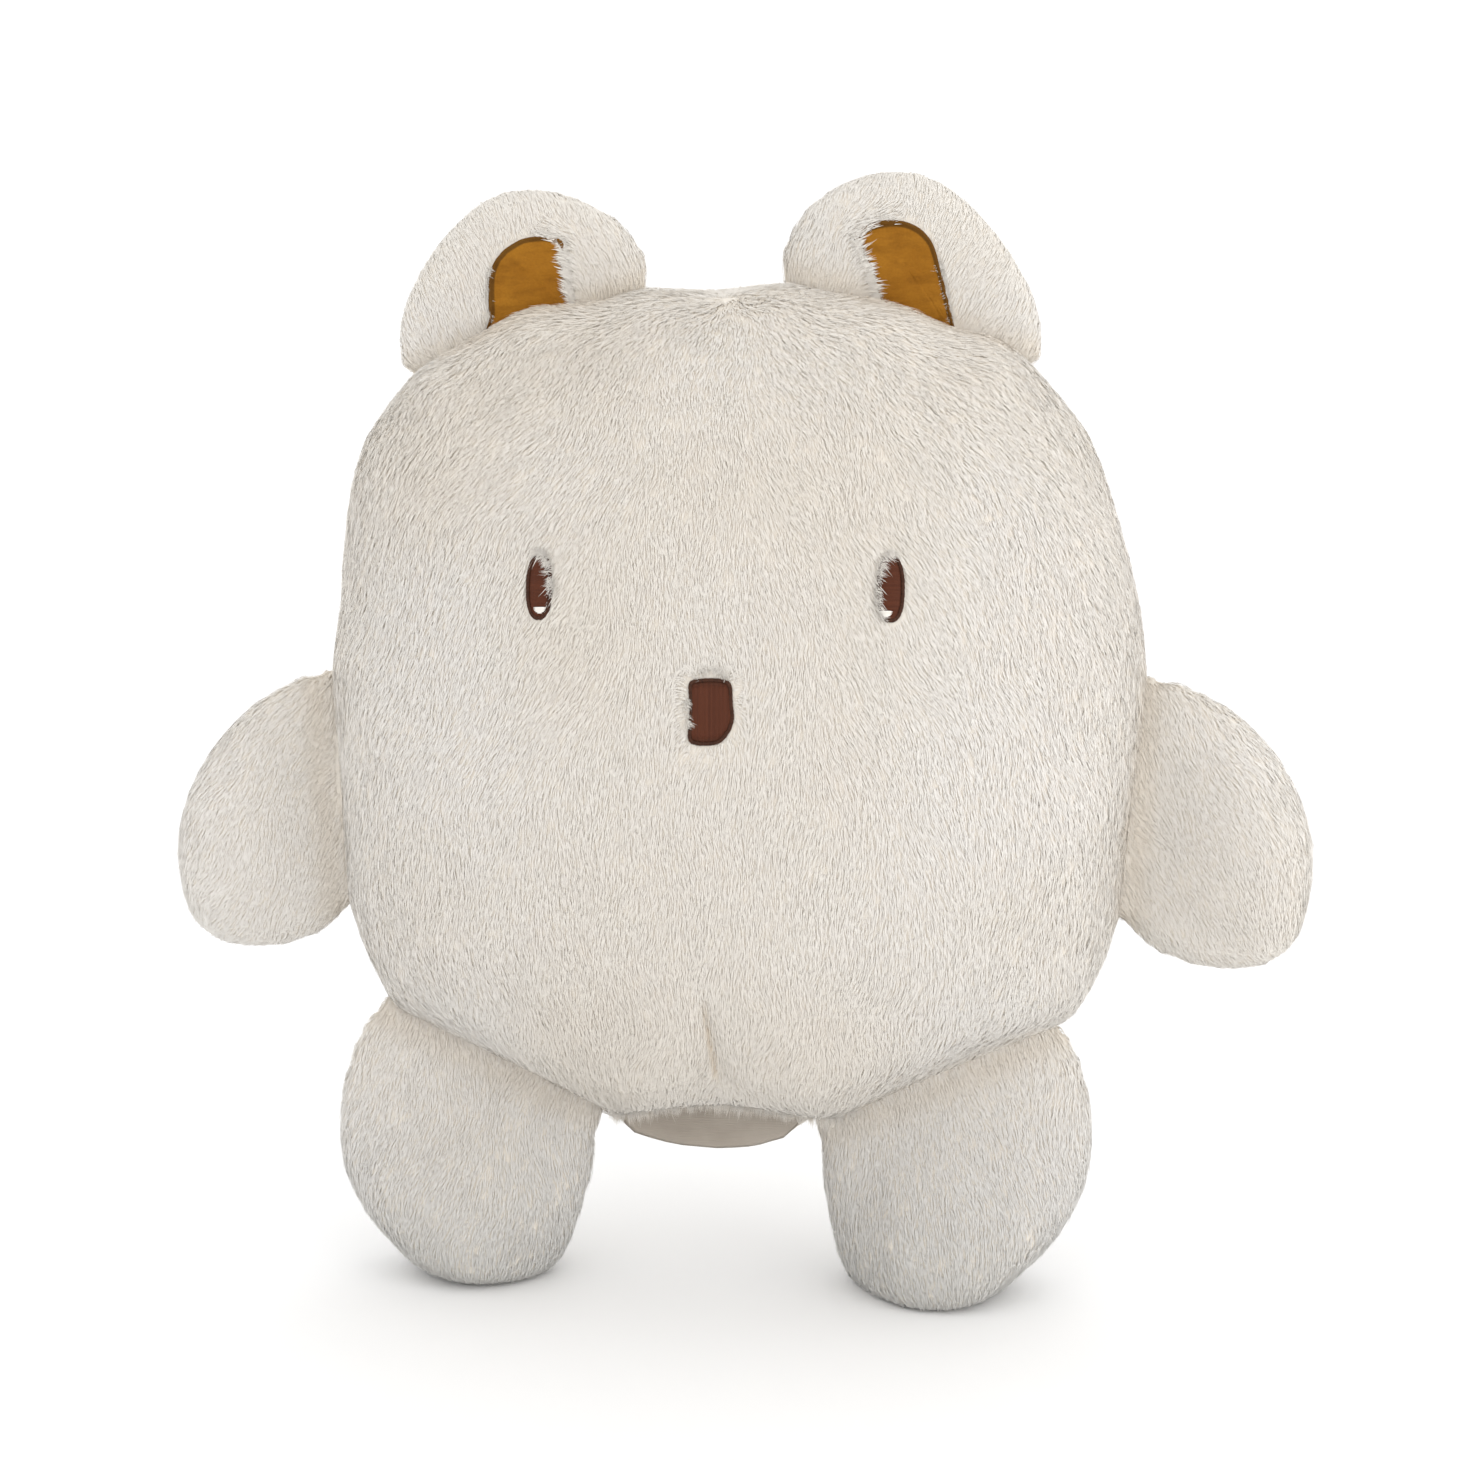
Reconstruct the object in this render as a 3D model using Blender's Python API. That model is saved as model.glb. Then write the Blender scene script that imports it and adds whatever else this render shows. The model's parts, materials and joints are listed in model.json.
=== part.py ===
"""A reversible plush animal, standing on two stuffed legs and facing -Y.

The head and body are one pillow of two pile panels, sewn together along a seam in the XZ plane.
Between them hangs a flat pouch of lining that opens downwards between the legs, where the toy
is turned inside out. Two arms, two legs and two ears are small pillows of the same make, each
sewn into the body seam along one edge and bending there.
"""

import math

import bmesh
import bpy
import numpy as np

for old in list(bpy.data.objects):
    bpy.data.objects.remove(old, do_unlink=True)

# Fabric and clearances
fabric = 0.0028  # backing and pressed pile of a panel
clearance = 0.0003  # between two pieces that touch
lining_thickness = 0.0012
pouch_gap = 0.007  # between the two walls of the pouch
edge_bead = 0.0025  # radius of the rolled edge of a limb at its seam
seam_core_share = 0.3  # least part of a limb's thickness that its stuffing keeps

# Head and body in one pillow
body_width = 0.255
body_height = 0.253
front_depth = 0.062
back_depth = 0.060
crotch_height = 0.052  # floor to the body seam between the legs
pillow_centre_share = 0.52
pillow_fullness = 2.2
belly_share = 0.10  # how much deeper the pillow is at its foot than at its middle
body_ring_count = 7
rounding_passes = 12  # of neighbour averaging that turn the seam's outline into the pillow's contours
rim_share = 0.95  # most of the way to the seam that the fill reaches, past the last ring but one

# Half of the body seam, from the crown down one side to the corner of the opening: shares of
# half the width and of the height. Limbs are sewn in along its straight stretches.
crown_shares = ((0.0, 0.998), (0.175, 1.004))
temple_shares = ((0.745, 0.905), (0.871, 0.830), (0.933, 0.723), (0.966, 0.613), (0.984, 0.5415))
flank_shares = ((0.933, 0.257), (0.890, 0.198), (0.816, 0.1265))
corner_shares = ((0.259, 0.0),)
temple_steps = 2  # points between two of the temple's
ear_root_steps = 3
arm_root_steps = 3
leg_root_steps = 3

# Opening between the legs
front_lip_rise = 0.005  # above the crotch
back_lip_drop = 0.0125  # below the crotch
lip_parting = 0.0065  # of each lip from the seam plane
lip_margin = 0.001  # from the lip to the edge of the lining
lip_step_shares = (0.8, 0.55, 0.28, 0.0)
lip_squareness = 8  # how evenly the lips part over the whole opening
lip_open_share = 0.6  # of the half opening, over which the lining reaches the lip

# Gathered dart above the front lip
dart_depth = 0.004
dart_width = 0.010
dart_height = 0.022

# Limbs. In each table a row is (near side, far side, thickness): how far out from the hinge and
# how far along it each side of the section lies, and the share of the half thickness there.
arm_reach = 0.0515
arm_half_thickness = 0.0200
arm_section_shares = (
    ((0.28, 0.935), (0.10, -0.12), 0.50),
    ((0.55, 0.835), (0.33, -0.185), 0.86),
    ((0.76, 0.690), (0.57, -0.20), 1.00),
    ((0.91, 0.520), (0.79, -0.165), 0.92),
    ((0.985, 0.360), (0.945, -0.07), 0.62),
    ((1.0, 0.230), (0.998, 0.08), 0.22),
)

ear_rise = 0.0430
ear_half_thickness = 0.0100
ear_section_shares = (
    ((0.26, -0.015), (0.25, 0.970), 0.62),
    ((0.50, 0.010), (0.46, 0.905), 0.90),
    ((0.70, 0.075), (0.65, 0.815), 1.00),
    ((0.87, 0.180), (0.83, 0.690), 0.88),
    ((0.965, 0.290), (0.95, 0.555), 0.56),
    ((1.0, 0.370), (0.997, 0.46), 0.20),
)

# A leg's rows give each side as (outwards share of the leg's width, share of its root's height).
leg_width = 0.077
leg_half_thickness = 0.0250
sole_half_depth = 0.014
leg_section_shares = (
    ((0.065, 0.850), (0.020, 0.885), 0.27),
    ((0.115, 0.670), (0.040, 0.730), 0.51),
    ((0.130, 0.490), (0.075, 0.530), 0.77),
    ((0.085, 0.310), (0.125, 0.300), 0.97),
    ((-0.018, 0.150), (0.185, 0.110), 1.00),
    ((-0.160, 0.036), (0.265, 0.020), 0.82),
)
sole_shares = (-0.240, 0.325)
section_steps = 6
rows_between = 2  # rows to each step of a limb's table, past its rolled edge
section_side_share = 0.35  # most of a narrow section that one seam allowance takes
inner_start_shares = {"arm": 0.26, "ear": 0.30, "leg": 0.26}
inner_end_shares = {"arm": 0.90, "ear": 0.90, "leg": 0.955}

# The rolled edge at a hinge: shares of its radius, outwards from the hinge and in thickness
bead_shares = ((-1.0, 0.35), (-0.72, 0.72), (0.0, 1.0))

# Inner ear patch, in the ear's own shares along and across
patch_centre_shares = (0.455, 0.46)
patch_half_shares = (0.155, 0.18)
patch_fullness = 2.6
patch_thickness = 0.0012

# Face, as heights above the floor
eye_height = 0.210
eye_spacing = 0.098
eye_width = 0.0078
eye_length = 0.0175
eye_rise = 0.0016
eye_fullness = 2.0
glint_width = 0.0036
glint_length = 0.0021
glint_rise = 0.0004
glint_drop = 0.0062  # below the middle of the eye
glint_inward = 0.0010
nose_height = 0.1765
nose_width = 0.0128
nose_length = 0.0182
nose_rise = 0.0020
nose_fullness = 2.6
base_rim_share = 0.35  # height of an appliqué at its edge, as a share of its rise
dome_ring_shares = (0.55, 0.85, 1.0)
dome_segments = 16

body_half_width = body_width / 2
pillow_centre = np.array((0.0, crotch_height + pillow_centre_share * body_height))
hinge_offset = edge_bead + clearance  # from the body seam to a limb's hinge
lining_face = pouch_gap / 2 + lining_thickness
stuffing_face = lining_face + clearance


def body_point(shares):
    return np.array((shares[0] * body_half_width, crotch_height + shares[1] * body_height))


def smooth_curve(points, at):
    """Points on a Catmull-Rom curve through the given ones, at places counted in points."""
    points = np.asarray(points, float)
    last = len(points) - 1
    found = []
    for place in at:
        i = int(min(max(math.floor(place), 0), last - 1))
        t = place - i
        p0 = points[max(i - 1, 0)]
        p1, p2 = points[i], points[i + 1]
        p3 = points[min(i + 2, last)]
        found.append(
            0.5
            * (
                2 * p1
                + (p2 - p0) * t
                + (2 * p0 - 5 * p1 + 4 * p2 - p3) * t**2
                + (3 * p1 - p0 - 3 * p2 + p3) * t**3
            )
        )
    return np.array(found)


def straight(start, end, steps):
    return [start + (end - start) * k / steps for k in range(1, steps)]


ear_root = (body_point(crown_shares[-1]), body_point(temple_shares[0]))
arm_root = (body_point(flank_shares[0]), body_point(temple_shares[-1]))
leg_root = (body_point(flank_shares[-1]), body_point(corner_shares[0]))


def body_outline(lip_change):
    """The seam of one panel, all round from the crown, with its lip raised or dropped, and for
    each point how open the lip is there."""
    half = [body_point(s) for s in crown_shares]
    half += straight(*ear_root, ear_root_steps)
    temple = [body_point(s) for s in temple_shares]
    half += list(smooth_curve(temple, np.arange(0, len(temple) - 1, 1 / temple_steps)))
    half.append(temple[-1])
    half += straight(arm_root[1], arm_root[0], arm_root_steps)
    half += [body_point(s) for s in flank_shares]
    half += straight(*leg_root, leg_root_steps)
    half.append(leg_root[1])
    openness = [0.0] * len(half)
    corner = leg_root[1]
    for share in lip_step_shares:
        bow = 1 - share**2
        half.append(np.array((corner[0] * share, corner[1] + lip_change * bow)))
        openness.append(1 - share**lip_squareness)
    mirrored = [p * (-1, 1) for p in half[-2:0:-1]]
    return np.array(half + mirrored), np.array(openness + openness[-2:0:-1])


def moved_in(outline, amounts):
    """An outline with each point moved inwards, square to its neighbours."""
    along = np.roll(outline, -1, 0) - np.roll(outline, 1, 0)
    inward = np.stack((along[:, 1], -along[:, 0]), 1)
    inward /= np.linalg.norm(inward, axis=1)[:, None]
    towards = ((pillow_centre - outline) * inward).sum(1)
    inward *= np.sign(towards)[:, None]
    return outline + inward * np.reshape(amounts, (-1, 1))


def corner_ratios(outline):
    """How much further each point of the seam is from the middle than a rounded outline is."""
    reach = np.linalg.norm(outline - pillow_centre, axis=1)
    rounded = reach
    for step in range(rounding_passes):
        rounded = (np.roll(rounded, 1) + 2 * rounded + np.roll(rounded, -1)) / 4
    return reach / rounded


def pillow_swell(radius, corner):
    """Share of the full depth, whose contours follow the seam near it and are round inside."""
    radius = radius * (corner + (1 - corner) * radius**2)
    return (1 - radius**pillow_fullness) ** (1 / pillow_fullness)


def dart(x, z):
    """How far the dart draws the front in."""
    foot = crotch_height + front_lip_rise
    across = math.exp(-((2 * x / dart_width) ** 2))
    up = min(max(1 - (z - foot) / dart_height, 0.0), 1.0)
    return dart_depth * across * up * (1 - up) * 4


def pillow_y(at, radius, corner, depth, openness, darted):
    """Distance from the seam plane of a panel whose seam is at radius 1."""
    low = (pillow_centre[1] - at[1]) / (body_height / 2)
    full = depth * (1 + belly_share * low * radius)
    y = clearance / 2 + full * pillow_swell(radius, corner) + lip_parting * openness * radius**4
    return y - (dart(*at) if darted else 0.0)


front_outline, front_openness = body_outline(front_lip_rise)
back_outline, back_openness = body_outline(-back_lip_drop)


def pillow_rings(outline, openness, depth, side, darted):
    """The middle and the rings of one face of the pillow, out to its seam."""
    middle = (0.0, side * pillow_y(pillow_centre, 0.0, 1.0, depth, 0.0, False), pillow_centre[1])
    rings = []
    corners = corner_ratios(outline)
    for k in range(1, body_ring_count + 1):
        radius = math.sin(math.pi / 2 * k / body_ring_count)
        ring = []
        for point, corner, open_here in zip(outline, corners, openness):
            x, z = pillow_centre + radius * (point - pillow_centre)
            y = pillow_y((x, z), radius, corner, depth, open_here, darted)
            ring.append((x, side * y, z))
        rings.append(ring)
    return middle, rings


def front_face(x, z):
    """The front panel's distance from the seam plane over a point of the face."""
    way = np.array((x, z)) - pillow_centre
    reach = np.linalg.norm(way)
    if reach == 0:
        return pillow_y(pillow_centre, 0.0, 1.0, front_depth, 0.0, False)
    corners = corner_ratios(front_outline)
    nearest, corner = math.inf, 1.0
    for k, a in enumerate(front_outline):
        after = (k + 1) % len(front_outline)
        edge = front_outline[after] - a
        cross = way[0] * edge[1] - way[1] * edge[0]
        if cross == 0:
            continue
        start = a - pillow_centre
        far = (start[0] * edge[1] - start[1] * edge[0]) / cross
        along = (start[0] * way[1] - start[1] * way[0]) / cross
        if 0 < far < nearest and 0 <= along <= 1:
            nearest = far
            corner = corners[k] * (1 - along) + corners[after] * along
    return pillow_y((x, z), 1 / nearest, corner, front_depth, 0.0, False)


def principled(name, colour, roughness):
    material = bpy.data.materials.new(name)
    material.use_nodes = True
    shader = material.node_tree.nodes["Principled BSDF"]
    shader.inputs["Base Color"].default_value = (*colour, 1)
    shader.inputs["Roughness"].default_value = roughness
    shader.inputs["Metallic"].default_value = 0
    return material


cream_pile = principled("cream_pile", (0.72, 0.66, 0.57), 0.95)
lining_cloth = principled("lining_cloth", (0.42, 0.36, 0.30), 0.9)
fibre_fill = principled("fibre_fill", (0.85, 0.85, 0.83), 1.0)
tan_suede = principled("tan_suede", (0.39, 0.16, 0.02), 0.85)
brown_thread = principled("brown_thread", (0.10, 0.03, 0.015), 0.5)
white_thread = principled("white_thread", (0.85, 0.80, 0.74), 0.5)

toy = bpy.data.objects.new("toy", None)
bpy.context.collection.objects.link(toy)
weld = clearance / 1000
smooth_angle = math.radians(50)


def make_piece(name, points, faces, material, parent):
    """One closed body from points in the toy's frame, parented to an empty that carries it."""
    mesh = bpy.data.meshes.new(name)
    shape = bmesh.new()
    made = [shape.verts.new(np.subtract(p, parent.location)) for p in points]
    for face in faces:
        shape.faces.new([made[i] for i in face])
    bmesh.ops.remove_doubles(shape, verts=shape.verts, dist=weld)
    bmesh.ops.recalc_face_normals(shape, faces=shape.faces)
    shape.to_mesh(mesh)
    shape.free()
    mesh.shade_smooth()
    mesh.set_sharp_from_angle(angle=smooth_angle)
    mesh.materials.append(material)
    piece = bpy.data.objects.new(name, mesh)
    bpy.context.collection.objects.link(piece)
    piece.parent = parent
    return piece


def joined_rings(lower, upper, count):
    """Faces between two rings of count points, whose first points are lower and upper."""
    faces = []
    for k in range(count):
        after = (k + 1) % count
        faces.append((lower + k, lower + after, upper + after))
        faces.append((lower + k, upper + after, upper + k))
    return faces


def ringed_cap(points, faces, middle, rings):
    """Adds a face that spreads from its middle through rings, and returns its outer ring."""
    hub = len(points)
    points.append(middle)
    count = len(rings[0])
    start = len(points)
    faces += [(hub, start + k, start + (k + 1) % count) for k in range(count)]
    for ring in rings:
        points += ring
    for k in range(len(rings) - 1):
        faces += joined_rings(start + k * count, start + (k + 1) * count, count)
    return start + (len(rings) - 1) * count


def closed_by_two(name, first, second, material, parent):
    """A body with one ringed face on each side, joined at their outer rings."""
    points, faces = [], []
    outer = ringed_cap(points, faces, *first)
    inner = ringed_cap(points, faces, *second)
    faces += joined_rings(outer, inner, len(first[1][0]))
    return make_piece(name, points, faces, material, parent)


def body_panel(name, outline, openness, depth, side, darted):
    inner = moved_in(outline, fabric)
    return closed_by_two(
        name,
        pillow_rings(outline, openness, depth, side, darted),
        pillow_rings(inner, openness, depth - fabric, side, darted),
        cream_pile,
        toy,
    )


def drawn_in(x, z, amount):
    """A point of the XZ plane moved towards the middle of the pillow."""
    way = pillow_centre - (x, z)
    return np.array((x, z)) + way * amount / np.linalg.norm(way)


def hollow_rim(rings, distance):
    """Where a panel's inner face comes down to a distance from the seam plane, and how far from
    it the face is there, which is more where the lips part."""
    rim = []
    for inside, outside in zip(rings[-2], rings[-1]):
        fall = abs(inside[1]) - abs(outside[1])
        down = min((abs(inside[1]) - distance) / fall, rim_share)
        x, y, z = np.array(inside) + down * np.subtract(outside, inside)
        rim.append((*drawn_in(x, z, clearance), y))
    return rim


def body_stuffing(name, outline, openness, depth, side, darted):
    """The fill between a panel and its lining, flat where it lies on the lining."""
    inner = moved_in(outline, fabric)
    middle, rings = pillow_rings(inner, openness, depth - fabric, side, darted)
    eased = []
    for ring in rings[:-1]:
        places = [drawn_in(x, z, clearance) for x, y, z in ring]
        eased.append([(x, p[1] - side * clearance, z) for (x, z), p in zip(places, ring)])
    rim = hollow_rim(rings, stuffing_face + clearance)
    eased.append([(x, y - side * clearance, z) for x, z, y in rim])
    middle = (0.0, middle[1] - side * clearance, middle[2])
    flat_middle = (0.0, side * stuffing_face, pillow_centre[1])
    flat_ring = [(x, side * stuffing_face, z) for x, z, y in rim]
    return closed_by_two(name, (middle, eased), (flat_middle, [flat_ring]), fibre_fill, toy)


def lining_wall(name, outline, openness, depth, side, darted):
    """One wall of the pouch, which reaches the lip where the opening parts."""
    inner = moved_in(outline, fabric)
    rim = hollow_rim(pillow_rings(inner, openness, depth - fabric, side, darted)[1], lining_face)
    at_lip = openness > 1 - lip_open_share**lip_squareness
    edge = np.where(at_lip[:, None], moved_in(outline, lip_margin), [p[:2] for p in rim])
    walls = [
        ((0.0, y, pillow_centre[1]), [[(x, y, z) for x, z in edge]])
        for y in (side * pouch_gap / 2, side * lining_face)
    ]
    return closed_by_two(name, *walls, lining_cloth, toy)


def sections_at(near, far, halves, at):
    """Sections of a limb at places counted in rows of its table."""
    return (
        smooth_curve(near, at),
        smooth_curve(far, at),
        smooth_curve(np.reshape(halves, (-1, 1)), at)[:, 0],
    )


def outer_places(near):
    """Where a limb's outer rows lie: the table's rows, with more between those past the edge."""
    edge, last = len(bead_shares) - 1, len(near) - 1
    steps = (last - edge) * rows_between
    return np.append(np.arange(edge), np.linspace(edge, last, steps + 1))


def inner_sections(near, far, halves, kind, inset):
    """Sections inside a limb's panels, as many as outside, with each side moved in by inset."""
    last = len(near) - 1
    first_share, last_share = inner_start_shares[kind], inner_end_shares[kind]
    at = np.linspace(first_share * last, last_share * last, len(outer_places(near)))
    near, far, halves = sections_at(near, far, halves, at)
    across = far - near
    width = np.linalg.norm(across, axis=1)[:, None]
    taken = np.minimum(inset, width * section_side_share) / width
    halves = np.maximum(halves - inset, halves * seam_core_share)
    return near + across * taken, far - across * taken, halves


def section_row(near, far, half, side, base=clearance / 2):
    """Half of one section, from its near side to its far side, from a distance base."""
    row = []
    for k in range(section_steps + 1):
        turn = math.pi * k / section_steps
        x, z = near + (far - near) * (1 - math.cos(turn)) / 2
        row.append((x, side * (base + half * math.sin(turn)), z))
    return row


def half_rows(near, far, halves, side, base=clearance / 2):
    """Rows over one half of a limb, from the seam plane at its root to that at its end."""
    rows = [section_row(near[0], far[0], 0.0, side, base)]
    rows += [section_row(n, f, h, side, base) for n, f, h in zip(near, far, halves)]
    rows.append(section_row(near[-1], far[-1], 0.0, side, base))
    return rows


def grid(points, faces, rows):
    """Adds a grid of rows, and returns the loop of points round its edge."""
    start, wide = len(points), len(rows[0])
    for row in rows:
        points += row
    for i in range(len(rows) - 1):
        for k in range(wide - 1):
            a = start + i * wide + k
            faces += [(a, a + 1, a + wide + 1), (a, a + wide + 1, a + wide)]
    high = len(rows)
    loop = [start + k for k in range(wide)]
    loop += [start + i * wide + wide - 1 for i in range(1, high)]
    loop += [start + (high - 1) * wide + k for k in range(wide - 2, -1, -1)]
    loop += [start + i * wide for i in range(high - 2, 0, -1)]
    return loop


def limb_panel(name, kind, limb, side, parent):
    """One pile panel of a limb: a bowl whose rim lies in the seam plane."""
    points, faces = [], []
    outer = grid(points, faces, half_rows(*sections_at(*limb, outer_places(limb[0])), side))
    inner = grid(points, faces, half_rows(*inner_sections(*limb, kind, fabric), side))
    for k in range(len(outer)):
        after = (k + 1) % len(outer)
        faces.append((outer[k], outer[after], inner[after], inner[k]))
    return make_piece(name, points, faces, cream_pile, parent)


def limb_stuffing(name, kind, limb, parent):
    """The fill of a limb, which keeps the clearance to the hollow of its panels."""
    near, far, halves = inner_sections(*limb, kind, fabric)
    across = (far - near) / np.linalg.norm(far - near, axis=1)[:, None]
    near, far = near + across * clearance, far - across * clearance
    for end, next_in in ((0, 1), (-1, -2)):
        inward = near[next_in] + far[next_in] - near[end] - far[end]
        inward *= clearance / np.linalg.norm(inward)
        near[end] += inward
        far[end] += inward
    points, faces = [], []
    for side in (-1, 1):
        grid(points, faces, half_rows(near, far, halves - clearance, side, 0.0))
    return make_piece(name, points, faces, fibre_fill, parent)


def outward_of(root):
    """The direction in the XZ plane square to a root and away from the body."""
    along = root[1] - root[0]
    out = np.array((-along[1], along[0])) / np.linalg.norm(along)
    middle = (root[0] + root[1]) / 2
    return out if np.dot(out, middle - pillow_centre) > 0 else -out


def rooted(root, near, far, halves):
    """A limb's sides and thicknesses, with the rolled edge along its hinge put first."""
    out = outward_of(root)
    hinge = [end + out * hinge_offset for end in root]
    sides = []
    for end, side in zip(hinge, (near, far)):
        sides.append(np.array([end + out * edge_bead * a for a, t in bead_shares] + list(side)))
    return sides[0], sides[1], [edge_bead * t for a, t in bead_shares] + list(halves)


def limb_from_hinge(root, reach, half_thickness, rows):
    """A limb whose sides are laid out from its hinge: shares outwards and along it."""
    out = outward_of(root)
    hinge = root[0] + out * hinge_offset
    along = root[1] - root[0]
    near = [hinge + out * reach * a + along * b for (a, b), other, t in rows]
    far = [hinge + out * reach * a + along * b for other, (a, b), t in rows]
    return near, far, [half_thickness * t for near_share, far_share, t in rows]


def arm_shape():
    """The near side is the upper one, so that the root runs downwards."""
    root = arm_root[1], arm_root[0]
    turned = [
        ((a, 1 - b), (c, 1 - d), t) for (a, b), (c, d), t in arm_section_shares
    ]
    return root, rooted(root, *limb_from_hinge(root, arm_reach, arm_half_thickness, turned))


def ear_shape():
    shape = limb_from_hinge(ear_root, ear_rise, ear_half_thickness, ear_section_shares)
    return ear_root, rooted(ear_root, *shape)


def leg_shape():
    """The outer side is the near one. The last section is the flat sole on the floor."""
    outer, inner = leg_root
    near = [(outer[0] + leg_width * a, outer[1] * b) for (a, b), other, t in leg_section_shares]
    far = [(inner[0] + leg_width * a, inner[1] * b) for other, (a, b), t in leg_section_shares]
    near.append((outer[0] + leg_width * sole_shares[0], 0.0))
    far.append((inner[0] + leg_width * sole_shares[1], 0.0))
    halves = [leg_half_thickness * t for near_share, far_share, t in leg_section_shares]
    halves.append(sole_half_depth)
    return leg_root, rooted(leg_root, np.array(near), np.array(far), halves)


def mirrored(sides, side_of_toy):
    return np.array(sides) * (side_of_toy, 1)


def make_limb(kind, root, limb, name, side_of_toy):
    """A limb of two panels and its fill, all carried by an empty on its hinge."""
    out = outward_of(root)
    x, z = ((root[0] + root[1]) / 2 + out * hinge_offset) * (side_of_toy, 1)
    hinge = bpy.data.objects.new(f"{name}_hinge", None)
    hinge.location = (x, 0.0, z)
    hinge.parent = toy
    bpy.context.collection.objects.link(hinge)
    near, far, halves = limb
    placed = mirrored(near, side_of_toy), mirrored(far, side_of_toy), halves
    limb_panel(f"{name}_front_panel", kind, placed, -1, hinge)
    limb_panel(f"{name}_back_panel", kind, placed, 1, hinge)
    limb_stuffing(f"{name}_stuffing", kind, placed, hinge)
    return hinge, placed


def superellipse(turn, fullness):
    """A point of a unit outline that is fuller than a circle above 2."""
    c, s = math.cos(turn), math.sin(turn)
    power = 2 / fullness
    return (
        math.copysign(abs(c) ** power, c),
        math.copysign(abs(s) ** power, s),
    )


def applique(name, place, halves, fullness, rise, material, parent):
    """A low domed patch that follows the surface under it. place gives the point of that surface
    for a pair of offsets from the patch's middle."""
    sides = []
    for top in (False, True):
        rings = []
        for radius in (0.0, *dome_ring_shares):
            height = clearance
            if top:
                dome = math.sqrt(1 - radius**2)
                height += rise * (base_rim_share + (1 - base_rim_share) * dome)
            ring = []
            for k in range(dome_segments):
                a, b = superellipse(2 * math.pi * k / dome_segments, fullness)
                x, y, z = place(halves[0] * radius * a, halves[1] * radius * b)
                ring.append((x, y - height, z))
            rings.append(ring)
        sides.append((rings[0][0], rings[1:]))
    return closed_by_two(name, *sides, material, parent)


def on_face(middle_x, middle_z, lift=0.0):
    def place(a, b):
        x, z = middle_x + a, middle_z + b
        return x, -front_face(x, z) - lift, z

    return place


def on_ear(placed, centre_shares):
    """Points of the ear's front panel by offsets in shares along and across the ear."""
    near, far, halves = placed
    last = len(near) - 1

    def place(a, b):
        at = [(centre_shares[0] + a) * last]
        n, f = smooth_curve(near, at)[0], smooth_curve(far, at)[0]
        half = smooth_curve(np.reshape(halves, (-1, 1)), at)[0, 0]
        across = centre_shares[1] + b
        x, z = n + (f - n) * across
        return x, -clearance / 2 - half * math.sqrt(1 - (2 * across - 1) ** 2), z

    return place


body_panel("body_front_panel", front_outline, front_openness, front_depth, -1, True)
body_panel("body_back_panel", back_outline, back_openness, back_depth, 1, False)
body_stuffing("body_front_stuffing", front_outline, front_openness, front_depth, -1, True)
body_stuffing("body_back_stuffing", back_outline, back_openness, back_depth, 1, False)
lining_wall("pouch_front_lining", front_outline, front_openness, front_depth, -1, True)
lining_wall("pouch_back_lining", back_outline, back_openness, back_depth, 1, False)

for side_of_toy, hand in ((-1, "right"), (1, "left")):
    for kind, shape in (("arm", arm_shape), ("leg", leg_shape), ("ear", ear_shape)):
        root, limb = shape()
        hinge, placed = make_limb(kind, root, limb, f"{kind}_{hand}", side_of_toy)
    applique(
        f"ear_{hand}_inner_patch",
        on_ear(placed, patch_centre_shares),
        patch_half_shares,
        patch_fullness,
        patch_thickness,
        tan_suede,
        hinge,
    )
    eye_x = side_of_toy * eye_spacing / 2
    applique(
        f"eye_{hand}",
        on_face(eye_x, eye_height),
        (eye_width / 2, eye_length / 2),
        eye_fullness,
        eye_rise,
        brown_thread,
        toy,
    )
    applique(
        f"eye_{hand}_glint",
        on_face(eye_x - side_of_toy * glint_inward, eye_height - glint_drop, eye_rise + clearance),
        (glint_width / 2, glint_length / 2),
        eye_fullness,
        glint_rise,
        white_thread,
        toy,
    )

applique(
    "nose_patch",
    on_face(0.0, nose_height),
    (nose_width / 2, nose_length / 2),
    nose_fullness,
    nose_rise,
    brown_thread,
    toy,
)

# The seam plane is set so that the toy's box is centred on the origin from front to back
bpy.context.view_layer.update()
reaches = [
    (piece.matrix_world @ vertex.co).y
    for piece in bpy.data.objects
    if piece.type == "MESH"
    for vertex in piece.data.vertices
]
toy.location.y = -(min(reaches) + max(reaches)) / 2
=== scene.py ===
"""The looks of a reversible plush animal: pile, pouch, suede and stitching, with floor, light and camera."""

import json
import math

import bmesh
import bpy
import numpy as np
from mathutils import Matrix, Vector
from mathutils.bvhtree import BVHTree


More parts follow.
